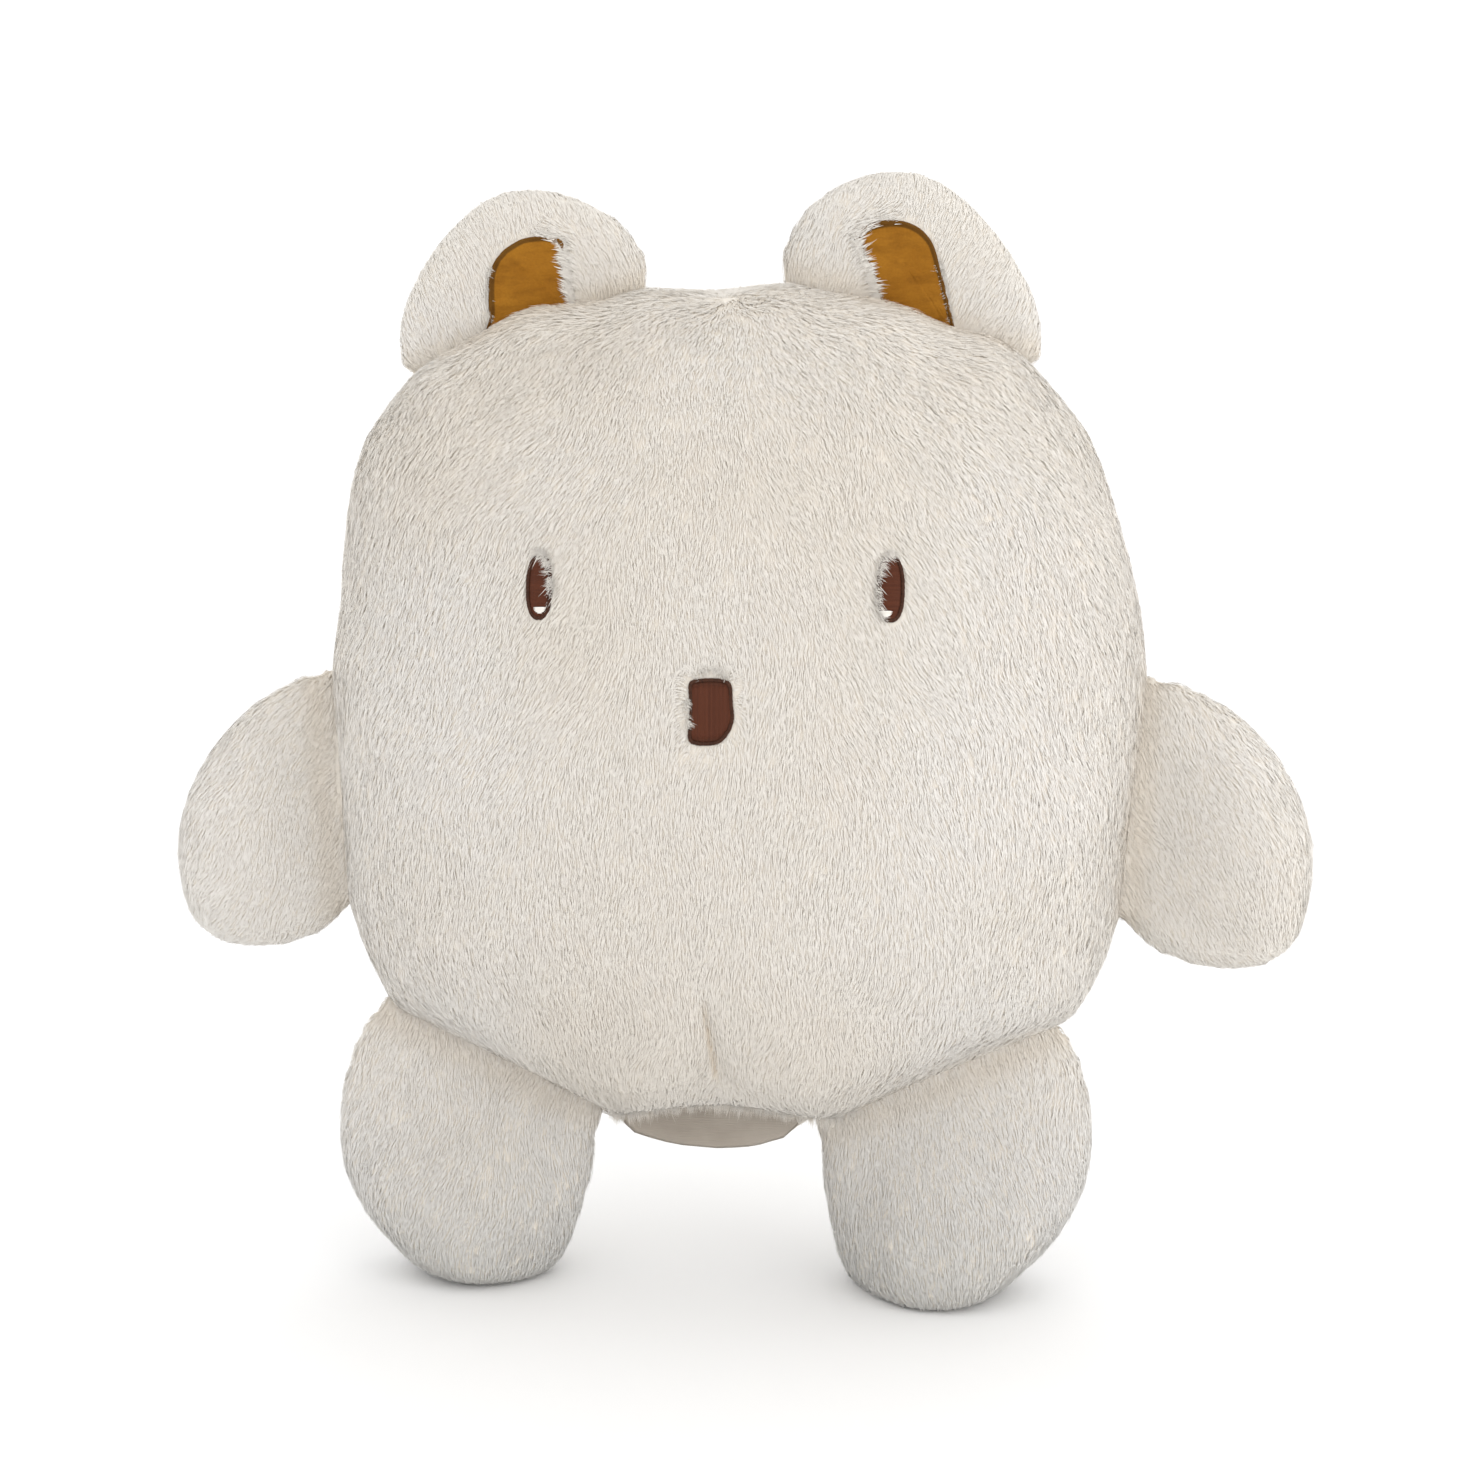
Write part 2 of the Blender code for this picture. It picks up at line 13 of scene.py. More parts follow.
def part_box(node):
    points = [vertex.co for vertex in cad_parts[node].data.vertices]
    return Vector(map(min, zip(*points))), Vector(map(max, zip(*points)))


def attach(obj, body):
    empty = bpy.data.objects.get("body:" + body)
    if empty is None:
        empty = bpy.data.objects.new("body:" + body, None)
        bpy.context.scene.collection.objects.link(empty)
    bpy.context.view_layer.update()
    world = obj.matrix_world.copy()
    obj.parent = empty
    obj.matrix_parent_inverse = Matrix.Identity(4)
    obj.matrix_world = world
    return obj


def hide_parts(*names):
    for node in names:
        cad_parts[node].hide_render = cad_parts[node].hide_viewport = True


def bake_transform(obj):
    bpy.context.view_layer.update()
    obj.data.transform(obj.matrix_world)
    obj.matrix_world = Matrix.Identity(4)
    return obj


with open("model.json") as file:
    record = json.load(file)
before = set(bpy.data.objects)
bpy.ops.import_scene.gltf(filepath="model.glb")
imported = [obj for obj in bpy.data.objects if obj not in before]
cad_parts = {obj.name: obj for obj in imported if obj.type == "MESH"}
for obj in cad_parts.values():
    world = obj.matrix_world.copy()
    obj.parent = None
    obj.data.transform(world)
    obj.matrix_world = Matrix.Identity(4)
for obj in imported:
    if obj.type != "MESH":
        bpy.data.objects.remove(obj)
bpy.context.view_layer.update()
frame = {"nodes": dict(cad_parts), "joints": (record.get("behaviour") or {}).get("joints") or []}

# Sizes in metres
skin_voxel = 0.0030
skin_inset = 0.0003  # of the filled skin from the solid, which leaves room for the pile
seam_fullness = 0.0018  # how much less a skin is drawn in at its seam, where remeshing has rounded it
pouch_room = 0.0008  # how much more it is drawn in along the pouch
skin_thin_share = 0.28  # most of its thickness that a thin part loses from each side
swell_room = 0.0012  # further in that the skin starts, before the filling swells it
swell_most = 0.0022
swell_pressure = 4.0
swell_frames = 20
skin_smoothing = 3
root_outward = 0.0045  # part of a limb that its hidden root is drawn from
root_inward = 0.0100  # how far the root runs into the body
root_taper = 0.75  # thickness left at the root's inner end
band_outer, band_inner, band_half = 0.0022, 0.0075, 0.0026  # of the body's seam
floor_gap = 0.0002
sole_height = 0.0011  # of the skin, above the pile that is pressed on the floor

limb_creases = {"arm": 0.036, "leg": 0.028, "ear": 0.025}  # half the length of each limb's root, along which the body's pile gets painted crease shade
# How wide the painted crease shade is beside each limb's root and in the dart
crease_shade_width = 0.006
dart_shade_width = 0.0009

foot_tone = 0.42  # of a strand at its foot, from 0, tan, to 1, pale: painted shade, darker than the tips, deep in the pile
pile_length = 0.0042
pile_rise = 0.00066
strand_width = 0.00029
strand_root_depth = 0.0005
lock_width = 0.00010
tuft_size = 0.0026
tuft_gather = 0.16
long_share = 0.08  # of the strands, which stand longer than the rest
long_length = 1.45
long_rise = 1.6
strands_per_piece = 62000
strand_density = 2.6e6  # to the square metre

dart_top = np.array((-0.0025, 0.0970))  # across and up, on the front of the body
dart_foot = np.array((0.0004, 0.0765))
dart_depth = 0.0026
dart_width = 0.0021

lip_widening = 0.42  # of the back lip, on the viewer's left
lip_drop = 0.0008
lining_thickness = 0.0008
lining_rim_points = 220
lip_span = (-0.034, 0.042)  # of the locks under the front lip, across
lip_rows = ((0.0026, 240, 0.95), (0.0008, 130, 0.6))  # how far up, how many locks, their tone; the lower row's is painted shade

# How the real toy leans from the symmetric solid, across and up
body_lean_heights = (0.0, 0.06, 0.10, 0.16, 0.21, 0.245, 0.28, 0.35)
body_leans = (0.0005, 0.0005, 0.0006, 0.0018, 0.0020, -0.0012, -0.0029, -0.0028)
crown_lift = 0.0012
temple_swells = ((0.084, 0.0050), (-0.0835, 0.0024))  # beside each ear: where, how high
flank_swell = 0.0018
toe_lift = 0.0030  # of the outer front of the viewer's left foot
brow_swells = ((-0.060, 0.0085), (0.058, 0.0065))  # of the crown before each ear: where, how high
limb_leans = {  # at the root and the tip, then how much wider each is
    "ear_left": ((-0.0032, 0.0), (-0.0068, 0.0008), (1.14, 1.03)),
    "ear_right": ((-0.0048, 0.0), (-0.0050, -0.0022), (1.12, 1.0)),
    "arm_left": ((0.0012, 0.0008), (0.0016, 0.0003), (1.0, 1.0)),
    "arm_right": ((0.0014, 0.0020), (0.0018, 0.0006), (1.0, 0.97)),
    "leg_left": ((-0.0024, 0.0), (-0.0046, 0.0), (1.06, 1.10)),
    "leg_right": ((-0.0066, 0.0), (-0.0062, 0.0), (1.04, 1.04)),
}

# Stitched parts, on the front of the body
thread_radius = 0.00021
thread_spacing = 0.00034
border_width = 0.0011
pad_edge_height = 0.0002
pad_height = 0.0007
eye_places = {"eye_right": (-0.0475, 0.2103), "eye_left": (0.0490, 0.2096)}
eye_halves = (0.0037, 0.0091)
nose_place = (0.0007, 0.1759)
nose_halves = (0.0062, 0.0090)
nose_shares = (
    (-0.97, 0.82), (-0.80, 0.95), (-0.34, 1.0), (0.25, 1.0), (0.70, 0.95), (0.90, 0.78), (0.93, 0.45),
    (0.97, 0.14), (1.0, -0.16), (0.90, -0.48), (0.63, -0.78), (0.30, -0.95), (-0.20, -1.0),
    (-0.72, -0.97), (-0.96, -0.84), (-0.98, -0.50), (-0.93, 0.0), (-0.95, 0.45),
)
glint_places = {"eye_right_glint": (-0.0470, 0.2037), "eye_left_glint": (0.0476, 0.2026)}
glint_halves = (0.0018, 0.0008)
glint_steps = 7

# Suede patches, across and up in millimetres
patch_outlines = {
    "ear_right": (
        (-74.6, 289.0), (-74.2, 298.9), (-74.2, 306.0), (-73.4, 312.5), (-70.1, 317.8), (-66.8, 320.2),
        (-62.8, 322.2), (-58.2, 323.0), (-53.8, 322.8), (-50.6, 321.4), (-49.9, 316.5), (-49.1, 310.5),
        (-48.0, 304.7), (-46.0, 294.0),
    ),
    "ear_left": (
        (38.6, 320.6), (40.8, 323.9), (45.0, 325.4), (49.9, 325.8), (54.7, 325.0), (58.9, 322.8),
        (61.9, 319.6), (63.6, 316.0), (65.0, 311.2), (66.3, 307.0), (67.6, 302.0), (69.4, 295.0),
        (71.0, 286.0), (48.0, 292.0), (45.8, 301.0), (43.6, 309.0), (40.6, 316.0),
    ),
}
patch_height = 0.0007  # of the suede above the ear's skin
hem_height = 0.0006

hands = ("left", "right")
hinges = {joint["child"]: joint for joint in frame["joints"]}
seam_y = hinges["arm_left"]["pos_m"][1]
body_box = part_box("body_front_panel")
body_middle = np.array((0.0, seam_y, (body_box[0].z + body_box[1].z) / 2))
down = np.array((0.0, 0.0, -1.0))


def hinge_frame(limb):
    """A hinge's middle and the way out from the body."""
    joint = hinges[limb]
    place = np.array(joint["pos_m"])
    out = np.cross(np.array(joint["axis"]), (0.0, 1.0, 0.0))
    out /= np.linalg.norm(out)
    return place, out * np.sign((place - body_middle) @ out)


# Numbers over points


def lattice_value(cells, seed):
    """A repeatable number from 0 to 1 for each whole-numbered cell."""
    mixed = cells[:, 0] * 73856093 ^ cells[:, 1] * 19349663 ^ cells[:, 2] * 83492791
    mixed = mixed ^ (seed + 1) * 2654435761
    mixed = ((mixed ^ (mixed >> 13)) * 1274126177) & 0xFFFFFFFF
    mixed = ((mixed ^ (mixed >> 15)) * 668265263) & 0xFFFFFFFF
    return ((mixed ^ (mixed >> 16)) & 0xFFFF) / 0xFFFF


def smooth_noise(points, size, seed):
    """Noise from -1 to 1 that changes over about that size."""
    scaled = points / size
    cells = np.floor(scaled).astype(np.int64)
    part = scaled - cells
    part = part * part * (3 - 2 * part)
    total = np.zeros(len(points))
    for corner in np.ndindex(2, 2, 2):
        weight = np.prod(np.where(corner, part, 1 - part), axis=1)
        total += weight * lattice_value(cells + np.array(corner), seed)
    return total * 2 - 1


def smooth_step(values, low, high):
    part = np.clip((values - low) / (high - low), 0, 1)
    return part * part * (3 - 2 * part)


def bell(values, centre, width):
    """1 at the centre, falling off over about that width."""
    return np.exp(-(((values - centre) / width) ** 2))


def unit(vectors):
    return vectors / np.maximum(np.linalg.norm(vectors, axis=-1, keepdims=True), 1e-12)


def closed_curve(points, steps=10):
    """A smooth closed curve through some points."""
    spots = np.array(points, float)
    before, after, last = np.roll(spots, 1, 0), np.roll(spots, -1, 0), np.roll(spots, -2, 0)
    part = (np.arange(steps) / steps)[None, :, None]
    a, b, c, d = (each[:, None] for each in (before, spots, after, last))
    curve = 2 * b + (c - a) * part + (2 * a - 5 * b + 4 * c - d) * part**2
    curve += (3 * b - a - 3 * c + d) * part**3
    return (curve / 2).reshape(-1, 2)


def evenly_round(outline, count_of):
    """Points spread evenly round a closed outline, as many as count_of gives for its length."""
    gaps = np.linalg.norm(np.roll(outline, -1, 0) - outline, axis=1)
    travelled = np.append(0, np.cumsum(gaps))
    count = count_of(travelled[-1])
    spots = np.arange(count) / count * travelled[-1]
    closed = np.vstack([outline, outline[:1]])
    return np.stack([np.interp(spots, travelled, closed[:, k]) for k in range(2)], 1)


def share_of_reach(outline, flat):
    """How far points are from the middle of a star-shaped outline to its edge, 1 on the edge."""
    middle = outline.mean(0)
    edge = outline - middle
    angles = np.arctan2(edge[:, 1], edge[:, 0])
    order = np.argsort(angles)
    offset = flat - middle
    reach = np.interp(
        np.arctan2(offset[:, 1], offset[:, 0]),
        angles[order],
        np.linalg.norm(edge, axis=1)[order],
        period=2 * np.pi,
    )
    return np.linalg.norm(offset, axis=1) / reach


def points_of(mesh):
    points = np.empty(len(mesh.vertices) * 3, np.float32)
    mesh.vertices.foreach_get("co", points)
    return points.reshape(-1, 3).astype(float)


def mesh_arrays(mesh):
    """Points, triangles and vertex normals of a mesh."""
    normals = np.empty(len(mesh.vertices) * 3, np.float32)
    mesh.vertex_normals.foreach_get("vector", normals)
    mesh.calc_loop_triangles()
    corners = np.empty(len(mesh.loop_triangles) * 3, np.int32)
    mesh.loop_triangles.foreach_get("vertices", corners)
    return points_of(mesh), corners.reshape(-1, 3), normals.reshape(-1, 3).astype(float)


def mesh_piece(name, points, faces, material, tones=None, normals=None):
    """An object from arrays of points and of faces with equal corner counts."""
    mesh = bpy.data.meshes.new(name)
    mesh.vertices.add(len(points))
    mesh.vertices.foreach_set("co", points.astype(np.float32).ravel())
    mesh.loops.add(faces.size)
    mesh.loops.foreach_set("vertex_index", faces.astype(np.int32).ravel())
    mesh.polygons.add(len(faces))
    mesh.polygons.foreach_set("loop_start", np.arange(0, faces.size, faces.shape[1], dtype=np.int32))
    mesh.materials.append(material)
    mesh.update(calc_edges=True)
    mesh.shade_smooth()
    if tones is not None:
        mesh.attributes.new("tone", "FLOAT", "POINT").data.foreach_set("value", tones.astype(np.float32))
    if normals is not None:
        mesh.normals_split_custom_set_from_vertices(normals.astype(np.float32))
    piece = bpy.data.objects.new(name, mesh)
    bpy.context.scene.collection.objects.link(piece)
    return piece


# Materials
# Low tones on these ramps are painted shade: the tan end in the creases, the middle at the foot of each
# strand
tone_places = (0.0, 0.22, 0.5, 1.0)  # from the foot of the pile to its tips
warm_pile = ((0.56, 0.43, 0.30), (0.75, 0.67, 0.56), (0.775, 0.725, 0.652), (0.795, 0.755, 0.688))
cool_pile = ((0.57, 0.45, 0.34), (0.775, 0.72, 0.645), (0.805, 0.772, 0.722), (0.825, 0.802, 0.765))
painted_low_shade_height = 0.07  # up to which the pile is painted greyer, as shade on the low parts that turn away from the light


def new_material(name, roughness, specular=0.15):
    material = bpy.data.materials.new(name)
    material.use_nodes = True
    shader = material.node_tree.nodes["Principled BSDF"]
    shader.inputs["Roughness"].default_value = roughness
    shader.inputs["Specular IOR Level"].default_value = specular
    return material, material.node_tree, shader


def object_place(tree):
    return tree.nodes.new("ShaderNodeTexCoord").outputs["Object"]


def ramp(tree, factor, stops):
    made = tree.nodes.new("ShaderNodeValToRGB")
    elements = made.color_ramp.elements
    while len(elements) < len(stops):
        elements.new(0.5)
    for element, (place, colour) in zip(elements, stops):
        element.position = place
        element.color = (*colour, 1)
    tree.links.new(factor, made.inputs["Fac"])
    return made.outputs["Color"]


def noise(tree, scale, detail=2.0, stretch=(1, 1, 1)):
    mapping = tree.nodes.new("ShaderNodeMapping")
    mapping.inputs["Scale"].default_value = stretch
    tree.links.new(object_place(tree), mapping.inputs["Vector"])
    made = tree.nodes.new("ShaderNodeTexNoise")
    made.inputs["Scale"].default_value = scale
    made.inputs["Detail"].default_value = detail
    tree.links.new(mapping.outputs["Vector"], made.inputs["Vector"])
    return made.outputs["Fac"]


def mixed(tree, first, second, factor, blend="MIX"):
    made = tree.nodes.new("ShaderNodeMix")
    made.data_type = "RGBA"
    made.blend_type = blend
    if isinstance(factor, float):
        made.inputs[0].default_value = factor
    else:
        tree.links.new(factor, made.inputs[0])
    tree.links.new(first, made.inputs[6])
    tree.links.new(second, made.inputs[7])
    return made.outputs[2]


def attribute(tree, name):
    made = tree.nodes.new("ShaderNodeAttribute")
    made.attribute_name = name
    return made.outputs["Fac"]


def bumped(tree, shader, height, strength, distance):
    made = tree.nodes.new("ShaderNodeBump")
    made.inputs["Strength"].default_value = strength
    made.inputs["Distance"].default_value = distance
    tree.links.new(height, made.inputs["Height"])
    tree.links.new(made.outputs["Normal"], shader.inputs["Normal"])


def pile_material(name):
    """Cream pile, pale at the tips, in warm and cool regions, with painted shade: tan in the creases, darker
    at the foot of the strands and greyer towards the floor.
    """
    material, tree, shader = new_material(name, 0.9, 0.1)
    tone = attribute(tree, "tone")
    warm, cool = (ramp(tree, tone, tuple(zip(tone_places, colours))) for colours in (warm_pile, cool_pile))
    colour = mixed(tree, warm, cool, attribute(tree, "coolness"))
    # Painted shade: greyer towards the floor, where the feet and lower legs turn away from the light
    parts = tree.nodes.new("ShaderNodeSeparateXYZ")
    tree.links.new(object_place(tree), parts.inputs["Vector"])
    height = tree.nodes.new("ShaderNodeMapRange")
    height.inputs["From Max"].default_value = painted_low_shade_height
    tree.links.new(parts.outputs["Z"], height.inputs["Value"])
    painted_low_shade_stops = ((0.0, (0.74, 0.76, 0.78)), (0.40, (0.86, 0.87, 0.885)), (1.0, (1.0, 1.0, 1.0)))
    painted_low_shade = ramp(tree, height.outputs["Result"], painted_low_shade_stops)
    tree.links.new(mixed(tree, colour, painted_low_shade, 1.0, "MULTIPLY"), shader.inputs["Base Color"])
    shader.inputs["Sheen Weight"].default_value = 0.12
    shader.inputs["Sheen Roughness"].default_value = 0.6
    return material


def ground_material():
    """The pressed foot of the pile, painted warmer and darker than its tips as shade deep in the pile, with
    clumps.
    """
    material, tree, shader = new_material("pile_ground", 1.0, 0.05)
    clumps = noise(tree, 420.0, 4.0, (1, 1, 0.45))
    colour = ramp(tree, clumps, ((0.3, (0.76, 0.70, 0.615)), (0.7, (0.79, 0.745, 0.675))))
    tree.links.new(colour, shader.inputs["Base Color"])
    bumped(tree, shader, clumps, 0.5, 0.0010)
    return material


def cloth_material():
    """Fine knitted lining, coloured dark grey-beige as painted shade, the way it looks in shadow under the
    lip.
    """
    material, tree, shader = new_material("lining_cloth", 0.85)
    rows = tree.nodes.new("ShaderNodeTexWave")
    rows.wave_type = "BANDS"
    rows.bands_direction = "Z"
    rows.inputs["Scale"].default_value = 420.0
    rows.inputs["Distortion"].default_value = 0.6
    tree.links.new(object_place(tree), rows.inputs["Vector"])
    soft = noise(tree, 60.0, 3.0)
    # Painted shade: the lining's colours are darkened to how it looks in the shade under the front lip
    colour = ramp(tree, soft, ((0.3, (0.37, 0.325, 0.275)), (0.7, (0.46, 0.41, 0.355))))
    tree.links.new(colour, shader.inputs["Base Color"])
    bumped(tree, shader, rows.outputs["Fac"], 0.2, 0.0002)
    return material


def suede_material():
    """Golden brown suede with nap patches, creases and grain, and painted shade along the creases."""
    material, tree, shader = new_material("tan_suede", 0.9, 0.2)
    patches = noise(tree, 90.0, 3.0)
    grain = noise(tree, 1500.0, 4.0)
    creases = noise(tree, 260.0, 5.0, (0.5, 1, 1.6))
    light = ramp(tree, patches, ((0.3, (0.29, 0.115, 0.008)), (0.75, (0.365, 0.155, 0.013))))
    dark = ramp(tree, grain, ((0.35, (0.78, 0.76, 0.72)), (0.65, (1.0, 1.0, 1.0))))
    body = mixed(tree, light, dark, 0.45, "MULTIPLY")
    # Painted shade: the suede is darkened where the creases that bump it sink
    folds = ramp(tree, creases, ((0.36, (0.80, 0.78, 0.74)), (0.52, (1.0, 1.0, 1.0))))
    body = mixed(tree, body, folds, 0.7, "MULTIPLY")
    hem_stops = ((0.0, (0.30, 0.30, 0.45)), (0.4, (0.48, 0.50, 0.75)), (0.75, (1.0, 1.0, 1.0)))
    edge = ramp(tree, attribute(tree, "tone"), hem_stops)
    tree.links.new(mixed(tree, body, edge, 1.0, "MULTIPLY"), shader.inputs["Base Color"])
    bumped(tree, shader, creases, 0.7, 0.0008)
    return material


def thread_material(name, dark, light, roughness):
    """Glossy embroidery thread that differs a little from stitch to stitch."""
    material, tree, shader = new_material(name, roughness, 0.2)
    colour = ramp(tree, attribute(tree, "tone"), ((0.0, dark), (1.0, light)))
    tree.links.new(colour, shader.inputs["Base Color"])
    bumped(tree, shader, noise(tree, 2600.0, 2.0), 0.35, 0.0001)
    return material


def floor_material():
    material, tree, shader = new_material("pale_floor", 0.8, 0.1)
    colour = ramp(tree, noise(tree, 6.0, 3.0), ((0.3, (0.955, 0.955, 0.955)), (0.7, (0.965, 0.965, 0.965))))
    tree.links.new(colour, shader.inputs["Base Color"])
    return material


pile = pile_material("cream_pile_strands")
pile_ground = ground_material()
lining_cloth = cloth_material()
tan_suede = suede_material()
brown_thread = thread_material("brown_satin_thread", (0.088, 0.024, 0.010), (0.108, 0.030, 0.0125), 0.5)
dark_thread = thread_material("dark_satin_thread", (0.045, 0.016, 0.008), (0.070, 0.026, 0.013), 0.5)
white_thread = thread_material("white_satin_thread", (0.80, 0.76, 0.70), (0.90, 0.87, 0.82), 0.45)


# Skins


def with_modifiers_applied(piece):
    bpy.context.view_layer.update()
    mesh = bpy.data.meshes.new_from_object(piece.evaluated_get(bpy.context.evaluated_depsgraph_get()))
    piece.modifiers.clear()
    old = piece.data
    piece.data = mesh
    bpy.data.meshes.remove(old)
    mesh.name = piece.name


def move_points(mesh, points):
    mesh.vertices.foreach_set("co", points.astype(np.float32).ravel())
    mesh.update()


def tree_of(mesh):
    points, triangles, _ = mesh_arrays(mesh)
    return BVHTree.FromPolygons(points.tolist(), triangles.tolist())


def root_plug(shape, limb):
    """A hull from the first of a limb that runs on into the body, so that no gap shows at its seam."""
    place, out = hinge_frame(limb)
    plug = bmesh.new()
    for vertex in shape.verts:
        if 0 < (np.array(vertex.co) - place) @ out < root_outward:
            plug.verts.new(vertex.co)
            inner = np.array(vertex.co) - out * root_inward
            inner[1] = seam_y + (inner[1] - seam_y) * root_taper
            plug.verts.new(inner)
    bmesh.ops.convex_hull(plug, input=plug.verts)
    hull = bpy.data.meshes.new("hull")
    plug.to_mesh(hull)
    plug.free()
    shape.from_mesh(hull)
    bpy.data.meshes.remove(hull)


def seam_band(shape):
    """A band inside the body's seam from one corner of the mouth to the other, where the wall is thin."""
    spots = points_of(frame["nodes"]["body_front_panel"].data)
    flat = spots[spots[:, 1] > seam_y - 0.0006][:, (0, 2)] - body_middle[[0, 2]]
    angles, reach = np.arctan2(flat[:, 1], flat[:, 0]), np.linalg.norm(flat, axis=1)
    apart = np.abs((angles[:, None] - angles + np.pi) % (2 * np.pi) - np.pi)
    outermost = reach > np.where(apart < np.radians(2), reach, 0).max(1) - 1e-4
    stations = np.radians(np.arange(-70, 251, 4))
    rims = np.interp(stations, angles[outermost], reach[outermost], period=2 * np.pi)
    loops = []
    for station, rim in zip(stations, rims):
        way = np.array((math.cos(station), math.sin(station)))
        corners = ((band_outer, -1), (band_outer, 1), (band_inner, 1), (band_inner, -1))
        loop = []
        for inset, side in corners:
            x, z = body_middle[[0, 2]] + way * (rim - inset)
            loop.append(shape.verts.new((x, seam_y + side * band_half, z)))
        loops.append(loop)
    faces = [loops[0], loops[-1]]
    for one, other in zip(loops, loops[1:]):
        faces += [(one[k], one[(k + 1) % 4], other[(k + 1) % 4], other[k]) for k in range(4)]
    made = [shape.faces.new(corners) for corners in faces]
    bmesh.ops.recalc_face_normals(shape, faces=made)


def drawn_in(piece, amounts):
    """Move a skin inwards by an amount for each point, less where it is thin."""
    points, _, normals = mesh_arrays(piece.data)
    tree = tree_of(piece.data)
    moves = amounts.copy()
    for k, (point, normal) in enumerate(zip(points, normals)):
        start = Vector(point - normal * 1e-5)
        far = tree.ray_cast(start, Vector(-normal), amounts[k] / skin_thin_share)[3]
        if far is not None:
            moves[k] = min(moves[k], far * skin_thin_share)
    edges = np.empty(len(piece.data.edges) * 2, np.int32)
    piece.data.edges.foreach_get("vertices", edges)
    edges = edges.reshape(-1, 2)
    for _ in range(4):
        total, number = moves.copy(), np.ones(len(points))
        for a, b in (edges.T, edges.T[::-1]):
            np.add.at(total, a, moves[b])
            np.add.at(number, a, 1)
        moves = total / number
    move_points(piece.data, points - normals * moves[:, None])


def swollen(piece, hold):
    """Let the filling swell a skin with cloth under pressure, by no more than a set distance."""
    start = points_of(piece.data)
    group = piece.vertex_groups.new(name="hold")
    for level in range(11):
        chosen = np.nonzero(np.round(hold * 10) == level)[0]
        group.add(chosen.tolist(), level / 10, "REPLACE")
    cloth = piece.modifiers.new("cloth", "CLOTH")
    cloth.settings.quality = 5
    cloth.settings.mass = 0.2
    cloth.settings.tension_stiffness = 8
    cloth.settings.compression_stiffness = 8
    cloth.settings.shear_stiffness = 3
    cloth.settings.bending_stiffness = 0.4
    cloth.settings.use_pressure = True
    cloth.settings.uniform_pressure_force = swell_pressure
    cloth.settings.effector_weights.gravity = 0
    cloth.settings.vertex_group_mass = "hold"
    cloth.point_cache.frame_start = 1
    cloth.point_cache.frame_end = swell_frames
    for step in range(1, swell_frames + 1):
        bpy.context.scene.frame_set(step)
    with_modifiers_applied(piece)
    bpy.context.scene.frame_set(1)
    piece.vertex_groups.clear()
    move = points_of(piece.data) - start
    size = np.linalg.norm(move, axis=1, keepdims=True)
    move *= np.minimum(1, swell_most / np.maximum(size, 1e-9)) * (1 - hold[:, None])
    move_points(piece.data, start + move)


def make_skin(name, nodes, hold_of, limb=None):
    """A filled skin a little inside some nodes' solids. A limb's runs on into the body."""
    shape = bmesh.new()
    for each in nodes:
        shape.from_mesh(frame["nodes"][each].data)
    if limb:
        root_plug(shape, limb)
    else:
        seam_band(shape)
    mesh = bpy.data.meshes.new(name)
    shape.to_mesh(mesh)
    shape.free()
    piece = bpy.data.objects.new(name, mesh)
    bpy.context.scene.collection.objects.link(piece)
    remesh = piece.modifiers.new("remesh", "REMESH")
    remesh.mode = "VOXEL"
    remesh.voxel_size = skin_voxel
    smooth = piece.modifiers.new("smooth", "SMOOTH")
    smooth.factor = 0.5
    smooth.iterations = skin_smoothing
    with_modifiers_applied(piece)
    points, _, normals = mesh_arrays(piece.data)
    hold = hold_of(points)
    beside = np.abs(points[:, 1] - seam_y)
    at_seam = 1 - smooth_step(beside, 0.003, 0.012)
    if not limb:
        in_pouch = smooth_step(np.abs(normals[:, 1]), 0.80, 0.95) * (1 - smooth_step(beside, 0.006, 0.010))
        at_seam -= (1 + pouch_room / seam_fullness) * in_pouch * at_seam
    inset = skin_inset - seam_fullness * at_seam
    drawn_in(piece, inset + swell_room * (1 - hold))
    swollen(piece, hold)
    finer = piece.modifiers.new("finer", "SUBSURF")
    finer.levels = 1
    with_modifiers_applied(piece)
    piece.data.materials.clear()
    piece.data.materials.append(pile_ground)
    piece.data.shade_smooth()
    return piece


def lean_body(points):
    """The body's points, moved by the way that the toy leans."""
    moved = points.copy()
    moved[:, 0] += np.interp(points[:, 2], body_lean_heights, body_leans)
    beside = smooth_step(np.abs(points[:, 0] - 0.01), 0.03, 0.06)
    crown = smooth_step(points[:, 2], 0.275, 0.303) * (1 - beside)
    moved[:, 2] += crown_lift * crown * (1 + 0.6 * smooth_step(points[:, 0], -0.01, 0.02))
    for centre, height in temple_swells:
        moved[:, 2] += height * bell(points[:, 0], centre, 0.012) * smooth_step(points[:, 2], 0.25, 0.27)
    flank = bell(points[:, 2], 0.094, 0.016)
    moved[:, 0] += flank_swell * flank * np.clip(points[:, 0] / 0.1, 0, 1)
    ahead = seam_y - points[:, 1]
    front = smooth_step(ahead, 0.001, 0.010) * (1 - smooth_step(ahead, 0.022, 0.045))
    for centre, height in brow_swells:
        near = bell(points[:, 0], centre, 0.020) * smooth_step(points[:, 2], 0.258, 0.292)
        moved[:, 2] += height * near * front
    return moved


